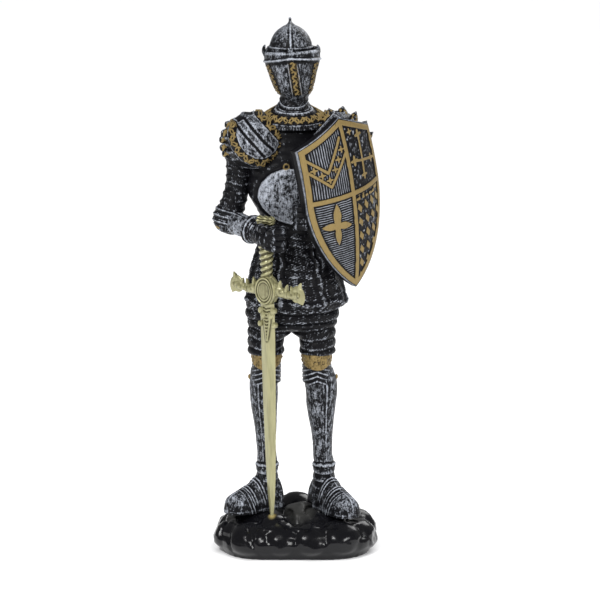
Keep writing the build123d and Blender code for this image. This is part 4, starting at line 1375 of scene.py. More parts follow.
# ---- Helmet ----------------------------------------------------------------------------------
@dataclass
class Helmet:
    """Closed helmet: skull with comb and spike, visor with eye slits, back plate and pivots.

    Attributes:
        finishes: The finishes.
    """

    finishes: Finishes

    def stations(self, rows: Sequence[tuple[float, float, float, float, float]]) -> list[tuple[float, ...]]:
        """Turns rows of Z, left edge, right edge, front and back into stations."""
        return [((left + right) / 2, 0.2, z, (right - left) / 2, front, back)
                for z, left, right, front, back in rows]

    def build(self) -> None:
        """Builds the skull, the visor, the back plate and the pivots."""
        self.build_skull()
        self.build_visor()
        self.build_pivots()

    def build_skull(self) -> None:
        """The skull, with a comb over it that rises to a spike."""
        _, high = casting_box("helmet_skull")
        tip = high[2]
        form = Form(self.stations((
            (tip - 12.5, -8.6, 5.2, 8.6, 8.8), (tip - 10.4, -8.9, 5.5, 9.0, 9.2),
            (tip - 9.0, -8.8, 5.4, 8.9, 9.1),
            (tip - 7.4, -8.3, 5.0, 8.4, 8.7), (tip - 5.6, -7.4, 4.0, 7.4, 7.8),
            (tip - 4.0, -6.1, 2.6, 6.0, 6.3),
            (tip - 2.9, -4.6, 1.0, 4.2, 4.6), (tip - 2.1, -3.2, -0.5, 2.2, 2.4),
            (tip - 1.3, -2.5, -1.4, 0.8, 0.8), (tip - 0.1, -2.15, -1.85, 0.16, 0.16),
        )), cap=0.015)

        def skull(clay: Clay) -> None:
            """A keel from brow to nape, a rolled brow edge and hammered sides."""
            clay.silver += 0.13
            middle = -2.0 + 0.3 * (tip - clay.z) / 10.0
            keel = hump(clay.x - middle, 0.0, 0.55) * ramp(clay.z, tip - 11.0, tip - 9.5)
            clay.height += 0.38 * keel
            clay.silver += 0.12 * keel
            clay.line(clay.z + 0.25 * np.cos(clay.turn), tip - 9.4, 0.5, 0.30, 0.1)
            clay.hammered(2.0, 0.12, 0.16, 18)
            clay.silver += 0.12 * ramp(clay.z, tip - 7.5, tip - 3.0)

        piece("helmet_skull", [work("helmet_skull", form, 200, 150, skull)], self.finishes.plate,
              ["helmet_skull"])

    def build_visor(self) -> None:
        """The visor and the back plate, as two halves of one tapering shell."""
        top = SPIKE_TOP
        rows = (
            (top - 27.8, -4.4, 3.5, 4.8, 5.0), (top - 26.2, -4.9, 4.1, 6.6, 6.0),
            (top - 24.0, -6.8, 5.2, 8.8, 7.8),
            (top - 21.0, -8.3, 6.3, 10.0, 9.0), (top - 18.0, -9.3, 6.9, 10.7, 9.6),
            (top - 15.0, -10.3, 7.7, 10.9, 9.9),
            (top - 12.4, -10.6, 8.0, 10.8, 10.0), (top - 10.6, -10.2, 7.7, 10.4, 9.8),
            (top - 9.4, -9.4, 6.8, 9.6, 9.4),
        )
        form = Form(self.stations(rows), power=1.85)
        tilt = 0.055

        def face(clay: Clay) -> None:
            """Eye slits, a rib below them, a gold scroll down the middle and chains at the sides."""
            front = ramp(np.cos(clay.turn), 0.0, 0.25)
            level = clay.z - tilt * (clay.x + 2.0) - top
            clay.silver += 0.11
            ahead = ramp(np.cos(clay.turn), 0.25, 0.5)
            slit = hump(level, -9.85, 0.95) * (np.abs(clay.x + 1.8) > 0.8) * ahead
            clay.height -= 1.2 * slit
            clay.silver -= 1.6 * slit
            bar = hump(level, -11.2, 0.8) * front
            clay.height += 0.25 * bar
            clay.silver += 0.22 * bar
            droop = level + 0.10 * np.abs(clay.x + 1.6)
            rib = hump(droop, -12.9, 0.75) * front
            clay.height += 0.75 * rib
            clay.silver += 0.20 * rib
            clay.silver -= 0.4 * hump(droop, -14.0, 0.6) * front
            share = (level + 14.5) / -10.0
            middle = -1.2 + 1.5 * share
            below = ramp(-droop, 13.6, 14.2) * front * ramp(clay.z, top - 25.4, top - 24.6)
            off = clay.x - middle
            trough = below * ramp(-np.abs(off), -1.35, -1.1)
            vine = np.sin(clay.z * 2.1) * 0.55
            bead = np.hypot(off + vine * 0.9, (clay.z % 1.5) - 0.75)
            curl = np.maximum(hump(off, vine, 0.5), hump(bead, 0.0, 0.6))
            clay.height += trough * (0.45 * curl - 0.2)
            clay.gilt += trough * (0.42 + 0.75 * curl)
            clay.silver -= 0.9 * trough
            for edge in (-1.45, 1.45):
                rail = below * hump(off, edge, 0.38)
                clay.height += 0.3 * rail
                clay.gilt += 0.5 * rail
            for sign, start, slope in ((-1, 8.3, 0.37), (1, 8.1, 0.20)):
                side = (clay.x + 1.3) * sign - (start + slope * np.minimum(level + 14.0, 0.0))
                near = below * ramp(-np.abs(side), -0.9, -0.6)
                links = chain_links(clay.z, side, 1.8, 0.8) * near
                clay.height += 0.35 * links
                clay.gilt += 0.9 * links
                clay.silver -= 0.7 * near
            clay.hammered(1.5, 0.10, 0.18, 19)
            clay.silver += 0.12 * below * ramp(-np.abs(np.abs(off) - 4.0), -2.5, 0.0)

        mesh = work("helmet_visor", form, 280, 190, face)
        piece("helmet_visor", [mesh], self.finishes.plate,
              ["helmet_visor", "helmet_back_plate"])

    def build_pivots(self) -> None:
        """The round bosses on the temples."""
        low, high = casting_box("visor_pivots")
        middle = (low + high) / 2
        meshes = []
        for side in Side:
            x = low[0] if side is Side.RIGHT else high[0]
            pose = Pose((x - 1.3 * side.value, middle[1] - 0.4, middle[2] - 0.3), (0, 0, 1),
                        (side.value, 0, 0))
            boss = Form([(0, 0, 0, 1.9, 2.0, 2.0), (0, 0, 0.6, 1.8, 1.9, 1.9), (0, 0, 1.0, 1.1, 1.2, 1.2),
                         (0, 0, 1.2, 0.5, 0.5, 0.5)], cap=0.08, pose=pose)

            def dented(clay: Clay) -> None:
                """Bright and dented."""
                clay.silver += 0.15
                clay.hammered(1.0, 0.12, 0.3, 22)

            meshes.append(work("boss", boss, 48, 26, dented))
        piece("visor_pivots", meshes, self.finishes.plate, ["visor_pivots"])


# ---- Shoulders and arms ----------------------------------------------------------------------
@dataclass
class Pauldron:
    """A shoulder plate of overlapping lames inside a gold chain border.

    Attributes:
        side: Which shoulder.
        finishes: The finishes.
        border: The border's line seen from the front, for the knight's right shoulder.
        grooves: The lines between the lames, seen the same way.
    """

    side: Side
    finishes: Finishes
    border: Sequence[tuple[float, float]] = (
        (-12.6, 149.2), (-9.6, 146.2), (-6.8, 143.2), (-4.9, 141.0), (-4.5, 139.0), (-5.6, 136.4),
        (-8.0, 134.2),
        (-11.0, 133.1), (-14.0, 133.6), (-17.0, 135.2), (-19.5, 138.2), (-20.9, 142.0), (-20.6, 145.0),
    )
    grooves: Sequence[Sequence[tuple[float, float]]] = (
        ((-18.5, 149.0), (-14.5, 144.5), (-11.0, 140.6), (-7.9, 137.6)),
        ((-20.5, 146.5), (-17.0, 142.6), (-13.0, 138.4), (-10.6, 135.4)),
    )

    def build(self) -> None:
        """Builds the plate and the frill beside it."""
        name = f"{self.side.word}_pauldron"
        low, high = casting_box(name)
        x, y, z = (low + high) / 2
        half = (high - low) / 2
        sign = self.side.value
        stations = []
        for angle in (-84, -64, -40, -14, 14, 40, 62, 80, 88):
            share = math.cos(math.radians(angle))
            rise = math.sin(math.radians(angle))
            stations.append((x - 1.0 * sign, y, z + half[2] * rise, (half[0] + 1.0) * share + 0.2,
                             (half[1] + 0.9) * share + 0.1, half[1] * share + 0.1))
        form = Form(stations, cap=0.02)

        def plates(clay: Clay) -> None:
            """Bright lames between dark grooves, ringed by the chain."""
            across = clay.x if sign < 0 else -1.6 - clay.x
            away, along = path_distance(across, clay.z, self.border)
            held = inside(across, clay.z, self.border)
            off = np.where(held, -away, away)
            chain = ramp(-np.abs(off), -1.3, -1.0)
            links = chain_links(along, off, 3.9, 1.35) * chain
            plate = held & (off < -1.2)
            clay.silver += np.where(plate, 0.24, -0.05)
            clay.height += np.where(plate, 0.5, 0.0) * ramp(-off, 1.2, 1.6)
            for line in self.grooves:
                gap, _ = path_distance(across, clay.z, line)
                cut = hump(gap, 0.0, 0.6) * plate
                clay.height -= 0.4 * cut
                clay.silver -= 1.3 * cut
                edge = hump(gap, 0.9, 0.3) * plate
                clay.height += 0.05 * edge
                clay.silver += 0.06 * edge
            clay.silver -= 0.8 * chain
            clay.height += 0.65 * links + 0.1 * chain
            clay.gilt += links * (1.15 + 0.5 * grain(clay.place, 1.3, 3))
            clay.silver += 0.2 * hump(off, 1.6, 0.4)
            clay.height += 0.25 * hump(off, 1.6, 0.45)
            outer = (off > 2.0)
            folds = np.sin(clay.z * 2.6 + 2.0 * grain(clay.place, 3.0, 3)) * outer
            clay.height += 0.35 * folds
            clay.silver += 0.2 * folds
            clay.hammered(1.9, 0.12, 0.20, 23)

        meshes = [work(name, form, 280, 200, plates)]
        meshes.extend(self.frill(x - half[0], z) if self.side is Side.RIGHT else self.crest(x, z))
        piece(name, meshes, self.finishes.plate, [name])

    def crest(self, x: float, z: float) -> list[bpy.types.Mesh]:
        """Pointed scales that stand up along the top of the plate.

        Args:
            x: Middle of the plate.
            z: Its middle height.

        Returns:
            The scales' meshes.
        """
        meshes = []
        for dx, dz, size, lean in ((-2.6, 8.4, 1.5, -0.2), (1.4, 9.0, 2.3, 0.1), (5.2, 7.4, 1.7, 0.4),
                                   (8.2, 4.6, 1.6, 0.8), (10.0, 1.2, 1.5, 1.2)):
            pose = Pose((x + dx, -1.0, z + dz), (0.0, 1.0, 0.0), (lean, 0.0, 1.0))
            scale = Form([(0, 0, -2.2, 2.6, size, size), (0, 0, 0.2, 2.2, 0.8 * size, 0.8 * size),
                          (0, 0, 1.6, 1.2, 0.35 * size, 0.35 * size), (0, 0, 2.4, 0.2, 0.1, 0.1)], cap=0.06,
                          pose=pose)
            meshes.append(work("crest", scale, 40, 30, self.ragged))
        return meshes

    @staticmethod
    def ragged(clay: Clay) -> None:
        """Rough edges with a little gold.

        Args:
            clay: The surface.
        """
        clay.hammered(0.9, 0.35, 0.5, 24)
        clay.gilt += 0.9 * ramp(grain(clay.place, 1.1, 6), 0.3, 0.6)

    def frill(self, x: float, z: float) -> list[bpy.types.Mesh]:
        """Ragged scallops down the outer edge of the plate.

        Args:
            x: Where the edge is.
            z: Its middle height.

        Returns:
            The scallops' meshes.
        """
        meshes = []
        for number, (dx, dz, y) in enumerate(((1.2, 5.2, -2.6), (0.0, 2.6, -4.4), (-0.6, 0.2, -3.0),
                                              (-0.4, -2.2, -4.6), (0.3, -4.4, -3.2), (-0.2, 1.2, 0.8),
                                              (0.0, -2.6, 1.2))):
            pose = Pose((x + dx, y, z + dz), (0, 1, 0), (-0.8, -0.35, 0.15 * (-1) ** number))
            lobe = Form([(0, 0, -2.0, 1.6, 1.3, 1.3), (0, 0, -0.4, 1.7, 1.4, 1.4), (0, 0, 0.8, 1.3, 1.0, 1.0),
                         (0, 0, 1.3, 0.5, 0.4, 0.4)], cap=0.08, pose=pose)
            meshes.append(work("frill", lobe, 40, 24, self.ragged))
        return meshes


@dataclass
class Arm:
    """One arm: mail sleeve, elbow cop, forearm plate and fist.

    Attributes:
        side: Which arm.
        finishes: The finishes.
        shoulder: Its shoulder point.
        elbow: Its elbow.
        hand: Middle of its fist.
        sleeve_bow: How far the sleeve bows outwards.
    """

    side: Side
    finishes: Finishes
    shoulder: Point
    elbow: Point
    hand: Point
    sleeve_bow: float = 2.2

    def build(self) -> None:
        """Builds the arm from the shoulder down."""
        self.build_sleeve()
        self.build_elbow()
        self.build_forearm()
        self.build_fist()

    def build_sleeve(self) -> None:
        """The mail sleeve, in ragged rolls."""
        top, end = np.array(self.shoulder), np.array(self.elbow)
        rows = []
        for share, radius, bow in ((-0.16, 3.6, 0.0), (-0.05, 4.6, 0.1), (0.1, 4.9, 0.5), (0.25, 4.7, 0.85),
                                   (0.42, 4.5, 1.0), (0.6, 4.4, 0.85), (0.78, 4.6, 0.45), (0.92, 4.7, 0.1)):
            point = top + (end - top) * share - (np.array([bow * self.sleeve_bow * self.side.value, 0, 0]))
            rows.append((*point, radius, radius * 0.96, radius * 0.96))
        form = Form(rows)
        name = f"{self.side.word}_upper_arm"
        piece(name, [work(name, form, 150, 150, MailRolls(2.9, 0.5, 0.4, 0.20).lay)], self.finishes.mail,
              [name])

    def build_elbow(self) -> None:
        """The elbow cop, with three ribs."""
        name = f"{self.side.word}_couter"
        point = np.array(self.elbow)
        form = Form([
            (*(point + (0.6, 0, 5.2)), 4.0, 4.0, 4.0), (*(point + (0.2, 0, 3.4)), 4.7, 4.6, 4.6),
            (*(point + (-0.2, 0, 1.0)), 5.0, 4.9, 4.9), (*(point + (0.0, 0, -1.6)), 4.7, 4.6, 4.6),
            (*(point + (0.6, 0, -3.8)), 3.4, 3.6, 3.4), (*(point + (1.2, 0, -4.9)), 1.6, 1.8, 1.6),
        ][::-1])

        def cop(clay: Clay) -> None:
            """Ribs round the elbow and a gilded edge under it."""
            clay.silver += 0.10
            rise, aside = clay.z - point[2], clay.x - point[0]
            for rib in (3.2, 1.2, -0.9):
                clay.line(rise + 0.25 * aside, rib, 0.45, 0.3, 0.05)
                clay.line(rise + 0.25 * aside, rib - 0.95, 0.35, -0.25, 0.2)
            clay.gilt += hump(rise + 0.2 * aside, -3.0, 0.7) * ramp(-aside, 2.0, 3.5) * 1.1
            clay.hammered(1.5, 0.14, 0.35, 25)

        piece(name, [work(name, form, 110, 80, cop)], self.finishes.plate, [name])

    def build_forearm(self) -> None:
        """The smooth forearm plate, narrowing to the wrist."""
        start, end = np.array(self.elbow), np.array(self.hand)
        rows = []
        for share, radius in ((0.08, 3.4), (0.2, 3.8), (0.36, 3.75), (0.5, 3.45), (0.64, 3.0), (0.76, 2.9)):
            point = start + (end - start) * share
            rows.append((*point, radius, radius, radius))
        form = Form(rows, across=(0, 0, 1), level=False)

        def plate(clay: Clay) -> None:
            """A bright plate with one seam."""
            clay.silver += 0.30
            clay.line(clay.turn, 1.9, 0.10, -0.2, 0.5)
            clay.line(clay.along, 0.12, 0.04, -0.2, 0.7)
            clay.hammered(2.4, 0.14, 0.35, 26)

        name = f"{self.side.word}_vambrace"
        piece(name, [work(name, form, 110, 90, plate)], self.finishes.plate, [name])

    def build_fist(self) -> None:
        """The closed gauntlet: flared cuff, back of the hand, knuckles, fingers and thumb."""
        hand = np.array(self.hand)
        ahead = hand - np.array(self.elbow)
        ahead = ahead / np.linalg.norm(ahead)
        cuff = Form([
            (*(hand - ahead * 3.6), 3.2, 3.2, 3.2), (*(hand - ahead * 5.2), 3.5, 3.5, 3.5),
            (*(hand - ahead * 7.4), 4.2, 4.2, 4.2), (*(hand - ahead * 9.2), 4.9, 4.8, 4.8),
            (*(hand - ahead * 9.5), 4.7, 4.6, 4.6), (*(hand - ahead * 8.4), 3.9, 3.9, 3.9),
        ], across=(0, 0, 1), level=False, cap=0.05)

        def flare(clay: Clay) -> None:
            """A rolled edge and two ribs."""
            clay.silver += 0.12
            clay.line(clay.along, 0.62, 0.06, 0.3, 0.5)
            clay.line(clay.along, 0.40, 0.05, -0.25, 0.5)
            clay.hammered(1.4, 0.12, 0.35, 27)

        meshes = [work("cuff", cuff, 90, 60, flare)]
        across = np.cross(ahead, (0, 0, 1))
        back = Form([
            (*(hand - ahead * 5.2), 2.9, 3.0, 3.4), (*(hand - ahead * 3.2), 3.4, 3.6, 4.3),
            (*(hand - ahead * 0.4), 3.9, 3.8, 4.9),
            (*(hand + ahead * 2.4), 4.0, 3.4, 4.4), (*(hand + ahead * 4.4), 3.4, 2.6, 3.2),
            (*(hand + ahead * 5.4), 1.8, 1.4, 1.6),
        ], across=(0, 0, 1), level=False, cap=0.05, power=2.5)

        def knuckles(clay: Clay) -> None:
            """Small plates over the back of the hand."""
            clay.silver -= 0.14
            clay.lames(clay.along * 11.0, 1.9, 0.25, 0.05, 0.6)
            clay.hammered(1.1, 0.2, 0.22, 28)

        meshes.append(work("back", back, 90, 70, knuckles))
        for number in range(4):
            drop = 2.9 - 1.95 * number
            root = hand + ahead * 3.4 + np.array([0, 0, drop]) - across * 2.6
            path = [root, root + ahead * 1.9 + across * 1.5, root + ahead * 1.6 + across * 4.0,
                    root - ahead * 0.6 + across * 5.4, root - ahead * 2.6 + across * 5.2]
            rows = [(*point, radius, radius, radius)
                    for point, radius in zip(path, (1.15, 1.15, 1.1, 1.0, 0.85))]
            meshes.append(work("finger", Form(rows, across=(0, 0, 1), level=False, cap=0.08), 26, 34,
                               self.joints))
        thumb = [hand - ahead * 1.6 + across * 2.6 + np.array([0, 0, 2.6]),
                 hand + ahead * 0.6 + across * 4.4 + np.array([0, 0, 3.1]),
                 hand + ahead * 2.6 + across * 4.8 + np.array([0, 0, 3.0])]
        rows = [(*point, radius, radius, radius) for point, radius in zip(thumb, (1.4, 1.3, 1.0))]
        meshes.append(work("thumb", Form(rows, across=(0, 0, 1), level=False, cap=0.08), 26, 30, self.joints))
        name = f"{self.side.word}_gauntlet"
        piece(name, meshes, self.finishes.dark_plate, [name])

    @staticmethod
    def joints(clay: Clay) -> None:
        """Finger plates.

        Args:
            clay: The finger's surface.
        """
        clay.silver -= 0.10
        clay.lames(clay.along * 6.0, 1.6, 0.16, 0.12, 0.4)
        clay.hammered(0.8, 0.08, 0.18, 29)


# ---- Shield ----------------------------------------------------------------------------------
@dataclass
class ShieldForm:
    """The curved face of a heater shield, in its own axes: X across, Y up and Z out of the face.

    Attributes:
        pose: Where it is.
        half: Half its width, measured straight across.
        top: Height of the peak above the middle; the tip is as far below it.
        corner: Height of the upper corners.
        side: Height where the straight sides end.
        sag: How far the middle stands out in front of the side edges.
        bulge: How far it stands out in front of the tip.
        back: How far behind the face this sheet lies.
    """

    pose: Pose
    half: float = 16.4
    top: float = 29.7
    corner: float = 22.3
    side: float = 8.0
    sag: float = 5.2
    bulge: float = 3.7
    back: float = 0.0

    def outline(self, steps: int = 14) -> list[tuple[float, float]]:
        """The edge as a closed broken line.

        Args:
            steps: Runs in each curved side.

        Returns:
            Its corners, from the peak clockwise.
        """
        belly = (0.74 * self.half, self.side - 0.6 * (self.side + self.top))
        x1, y1, x2, y2, x3, y3 = self.half, self.side, *belly, 0.0, -self.top
        turn = 2 * (x1 * (y2 - y3) + x2 * (y3 - y1) + x3 * (y1 - y2))
        a, b, c = x1**2 + y1**2, x2**2 + y2**2, x3**2 + y3**2
        cx = (a * (y2 - y3) + b * (y3 - y1) + c * (y1 - y2)) / turn
        cy = (a * (x3 - x2) + b * (x1 - x3) + c * (x2 - x1)) / turn
        radius = math.hypot(x1 - cx, y1 - cy)
        first, last = math.atan2(y1 - cy, x1 - cx), math.atan2(y3 - cy, x3 - cx)
        right = []
        for step in range(steps + 1):
            angle = first + (last - first) * step / steps
            right.append((cx + radius * math.cos(angle), cy + radius * math.sin(angle)))
        half = [(self.half - 0.3, self.corner), *right]
        return [(0.0, self.top), *half, *[(-x, y) for x, y in half[::-1][1:]]]

    def lay(self, around: Array, rows: Array) -> Clay:
        """Places the face's points.

        Args:
            around: Share of the way across, 0 to 1.
            rows: Share of the way up, 0 to 1.

        Returns:
            The surface, ready to be worked.
        """
        across = self.half * np.sin(math.pi * (around - 0.5))
        edge = self.outline(40)
        right = edge[1:edge.index(min(edge, key=lambda spot: spot[1])) + 1]
        reach = np.abs(across)
        xs = np.array([spot[0] for spot in right[1:]][::-1])
        ys = np.array([spot[1] for spot in right[1:]][::-1])
        bottom = np.interp(reach, xs, ys)
        upper = self.top - (self.top - self.corner) * np.minimum(reach / (self.half - 0.3), 1.0)
        up = bottom + (upper - bottom) * rows
        wide = (self.half**2 + self.sag**2) / (2 * self.sag)
        tall = (self.top**2 + self.bulge**2) / (2 * self.bulge)
        girth = wide - (tall - np.sqrt(tall**2 - up**2)) - self.back
        out = self.sag - wide + np.sqrt(girth**2 - across**2)
        place = np.stack([across, up, out], axis=1)
        return Clay(np.zeros(len(across)), rows, np.ones(len(across)), place)


@dataclass
class Shield:
    """The painted shield: quartered face, gold bands, bright rim and lining.

    Attributes:
        finishes: The finishes.
        yaw: Turn of its face towards the knight's left, in degrees.
        pitch: How far it leans back, in degrees.
        roll: Turn in its own plane, in degrees.
        middle: Its middle, in millimetres.
        thickness: How thick it is.
        border: Width of the gold border.
        post: X of the upright band.
        beam: Y of the level band.
    """

    finishes: Finishes
    yaw: float = 43.0
    pitch: float = -5.0
    roll: float = 13.0
    middle: Point = (15.7, -12.2, 120.0)
    thickness: float = 2.2
    border: float = 2.1
    post: float = 0.0
    beam: float = 4.2

    def pose(self) -> Pose:
        """Where the shield's own axes lie."""
        yaw, pitch, roll = (math.radians(turn) for turn in (self.yaw, self.pitch, self.roll))
        level = np.array([math.cos(yaw), math.sin(yaw), 0.0])
        ahead = np.array([math.sin(yaw), -math.cos(yaw), 0.0])
        out = ahead * math.cos(pitch) + np.array([0.0, 0.0, 1.0]) * math.sin(pitch)
        return Pose(self.middle, tuple(level * math.cos(roll) + np.cross(out, level) * math.sin(roll)),
                    tuple(out))

    def build(self) -> None:
        """Builds the face, the rim and the lining."""
        form = ShieldForm(self.pose())
        outline = form.outline()
        face = work("shield", form, 250, 360, lambda clay: self.paint(clay, outline), edges=0.9, closed=False)
        self.add_rim(face)
        lining = ShieldForm(self.pose(), back=self.thickness)

        def cloth(clay: Clay) -> None:
            """Dark boards."""
            clay.silver -= 0.1
            clay.line(np.abs(clay.x) % 5.6, 2.8, 0.4, -0.15, 0.2)
            clay.hammered(3.0, 0.12, 0.2, 31)

        back = work("lining", lining, 60, 90, cloth, closed=False)
        piece("shield", [face, back], self.finishes.shield, ["shield"])

    def add_rim(self, mesh: bpy.types.Mesh) -> None:
        """Turns the face's edge back to make the rim.

        Args:
            mesh: The face.
        """
        _, _, out = self.pose().axes()
        bm = bmesh.new()
        bm.from_mesh(mesh)
        silver = bm.verts.layers.float["silver"]
        gilt = bm.verts.layers.float["gilt"]
        rim = [edge for edge in bm.edges if edge.is_boundary]
        for depth in (0.35, 1.0, self.thickness - 1.35):
            made = bmesh.ops.extrude_edge_only(bm, edges=rim)["geom"]
            corners = [item for item in made if isinstance(item, bmesh.types.BMVert)]
            rim = [item for item in made if isinstance(item, bmesh.types.BMEdge)]
            bmesh.ops.translate(bm, verts=corners, vec=Vector(-out * depth * MM))
            for corner in corners:
                corner[silver] = 0.20 if depth < 0.5 else 0.02
                corner[gilt] = 0.0
        for face in bm.faces:
            face.smooth = True
        bmesh.ops.recalc_face_normals(bm, faces=bm.faces)
        bm.to_mesh(mesh)
        bm.free()

    def paint(self, clay: Clay, outline: Sequence[tuple[float, float]]) -> None:
        """Works the quarters and their charges.

        Args:
            clay: The face.
            outline: Its edge.
        """
        x, y = clay.x, clay.y
        away, _ = path_distance(x, y, [*outline, outline[0]])
        bands = np.maximum.reduce([ramp(-away, -self.border - 0.1, -self.border + 0.1),
                                   ramp(-np.abs(x - self.post), -0.85, -0.7),
                                   ramp(-np.abs(y - self.beam), -0.85, -0.7)])
        gold = bands * ramp(away, 0.35, 0.55)
        ground = (1.0 - bands) * ramp(away, self.border - 0.2, self.border)
        left, upper = x < self.post, y > self.beam
        clay.height += 0.42 * gold + 0.25 * ramp(-away, -0.5, -0.3)
        clay.gilt += gold * (1.0 + 0.35 * grain(clay.place, 1.6, 32))
        wobble = 0.12 * grain(clay.place, 2.0, 30)
        pebble = grain(clay.place, 0.7, 33)
        weave = np.where(left & upper, np.sin((x + wobble) * 2 * math.pi / 0.82),
                         np.where(left, np.sin((y + wobble) * 2 * math.pi / 0.80), 1.3 * pebble))
        mottle_and_shade = 1.0 + 0.8 * grain(clay.place, 1.7, 34)
        clay.silver += ground * (0.12 + 0.20 * weave * mottle_and_shade) - 0.2 * hump(away, self.border + 0.3, 0.6)
        charge = np.where(left & upper, self.chevron(x, y), np.where(left, self.leaves(x, y), 0.0))
        charge = np.where(~left & upper, self.rods(x, y), charge)
        charge = np.where(~left & ~upper, self.petals(x, y), charge) * ground
        clay.height += 0.3 * charge + 0.07 * weave * ground * (1.0 - charge)
        clay.gilt += charge * (1.0 + 0.35 * grain(clay.place, 1.2, 35))
        clay.silver += 0.42 * ramp(-away, -0.45, -0.2)

    @staticmethod
    def star(x: Array, y: Array, size: float) -> Array:
        """A four-pointed star of a size, from coordinates about its middle."""
        points = np.abs(np.cos(2.0 * np.arctan2(y, x))) ** 3
        return ramp(size * (0.45 + 0.55 * points) - np.hypot(x, y), -0.10, 0.12)

    def chevron(self, x: Array, y: Array) -> Array:
        """The upper left quarter: two bent rails with stars between them.

        Args:
            x: Places across the shield.
            y: Places up it.

        Returns:
            1 on the charge, 0 off it.
        """
        charge = np.zeros(len(x))
        for rail in (((-16.0, 20.4), (-8.2, 13.4), (-1.7, 23.6)), ((-16.0, 16.4), (-7.8, 8.6), (0.0, 18.8))):
            charge = np.maximum(charge, ramp(-path_distance(x, y, rail)[0], -0.55, -0.38))
        for sx, sy in ((-12.5, 15.1), (-10.3, 13.0), (-8.0, 11.0), (-5.6, 14.0), (-3.7, 16.9), (-1.9, 19.8)):
            charge = np.maximum(charge, self.star(x - sx, y - sy, 1.25))
        return charge

    def rods(self, x: Array, y: Array) -> Array:
        """The upper right quarter: two crossed rods with knobs.

        Args:
            x: Places across the shield.
            y: Places up it.

        Returns:
            1 on the charge, 0 off it.
        """
        charge = np.zeros(len(x))
        for rod in (((7.2, 22.2), (6.7, 8.4)), ((2.2, 14.5), (13.8, 12.1))):
            charge = np.maximum(charge, ramp(-path_distance(x, y, rod)[0], -0.5, -0.33))
        for kx, ky, size in ((7.2, 22.0, 1.9), (6.7, 8.6, 1.6), (2.9, 14.4, 1.9), (12.0, 12.5, 1.5),
                             (3.2, 24.2, 1.2)):
            charge = np.maximum(charge, self.star(x - kx, y - ky, size))
        return charge

    def leaves(self, x: Array, y: Array) -> Array:
        """The lower left quarter: four long leaves in a cross.

        Args:
            x: Places across the shield.
            y: Places up it.

        Returns:
            1 on the charge, 0 off it.
        """
        charge = np.zeros(len(x))
        for angle, length, wide in ((88, 7.6, 1.45), (-89, 7.0, 1.15), (-10, 5.5, 1.3), (176, 5.4, 1.3)):
            turn = math.radians(angle)
            u = (x + 7.3) * math.cos(turn) + (y + 5.0) * math.sin(turn)
            w = (y + 5.0) * math.cos(turn) - (x + 7.3) * math.sin(turn)
            share = np.clip(u / length, 0.0, 1.0)
            leaf = wide * np.sin(math.pi * share**0.85) ** 0.8 + 0.22 * (share < 0.2)
            charge = np.maximum(charge, ramp(leaf - np.abs(w), -0.05, 0.15) * (u > -0.2) * (u < length))
        return charge

    def petals(self, x: Array, y: Array) -> Array:
        """The lower right quarter: a speckled strip over rows of petals.

        Args:
            x: Places across the shield.
            y: Places up it.

        Returns:
            1 on the charge, 0 off it.
        """
        down = self.beam - y
        across = (x - self.post - 0.6) / 3.4
        u = (across % 1.0 - 0.5) * 3.4
        w = (down - 3.4 + 0.25 * np.floor(across)) % 4.9 - 2.45
        petal = ramp(1.0 - np.abs(u - 0.25 * w) / 1.15 - np.abs(w) / 2.0, 0.0, 0.15) * (down > 3.4)
        strip = ramp(grain(np.stack([x, y, x * 0], axis=1), 1.0, 36), 0.0, 0.25) * (down < 3.0) * (down > 1.2)
        return np.maximum(petal, strip)


@dataclass
class Straps:
    """The straps and the bare peg behind the shield keep their castings, in their own finishes."""

    finishes: Finishes

    def build(self) -> None:
        """Dresses the castings that stay as they are."""
        looks = {"shield_straps": self.finishes.leather}
        for name in ("left_leg_rod", "right_leg_rod", "spine_rod", "shoulder_dowels", "arm_dowels",
                     "shield_peg"):
            looks[name] = self.finishes.steel
        for name, finish in looks.items():
            thing = frame["nodes"][name]
            thing.data.materials.clear()
            thing.data.materials.append(finish)
            log.info("%s: dressed", name)


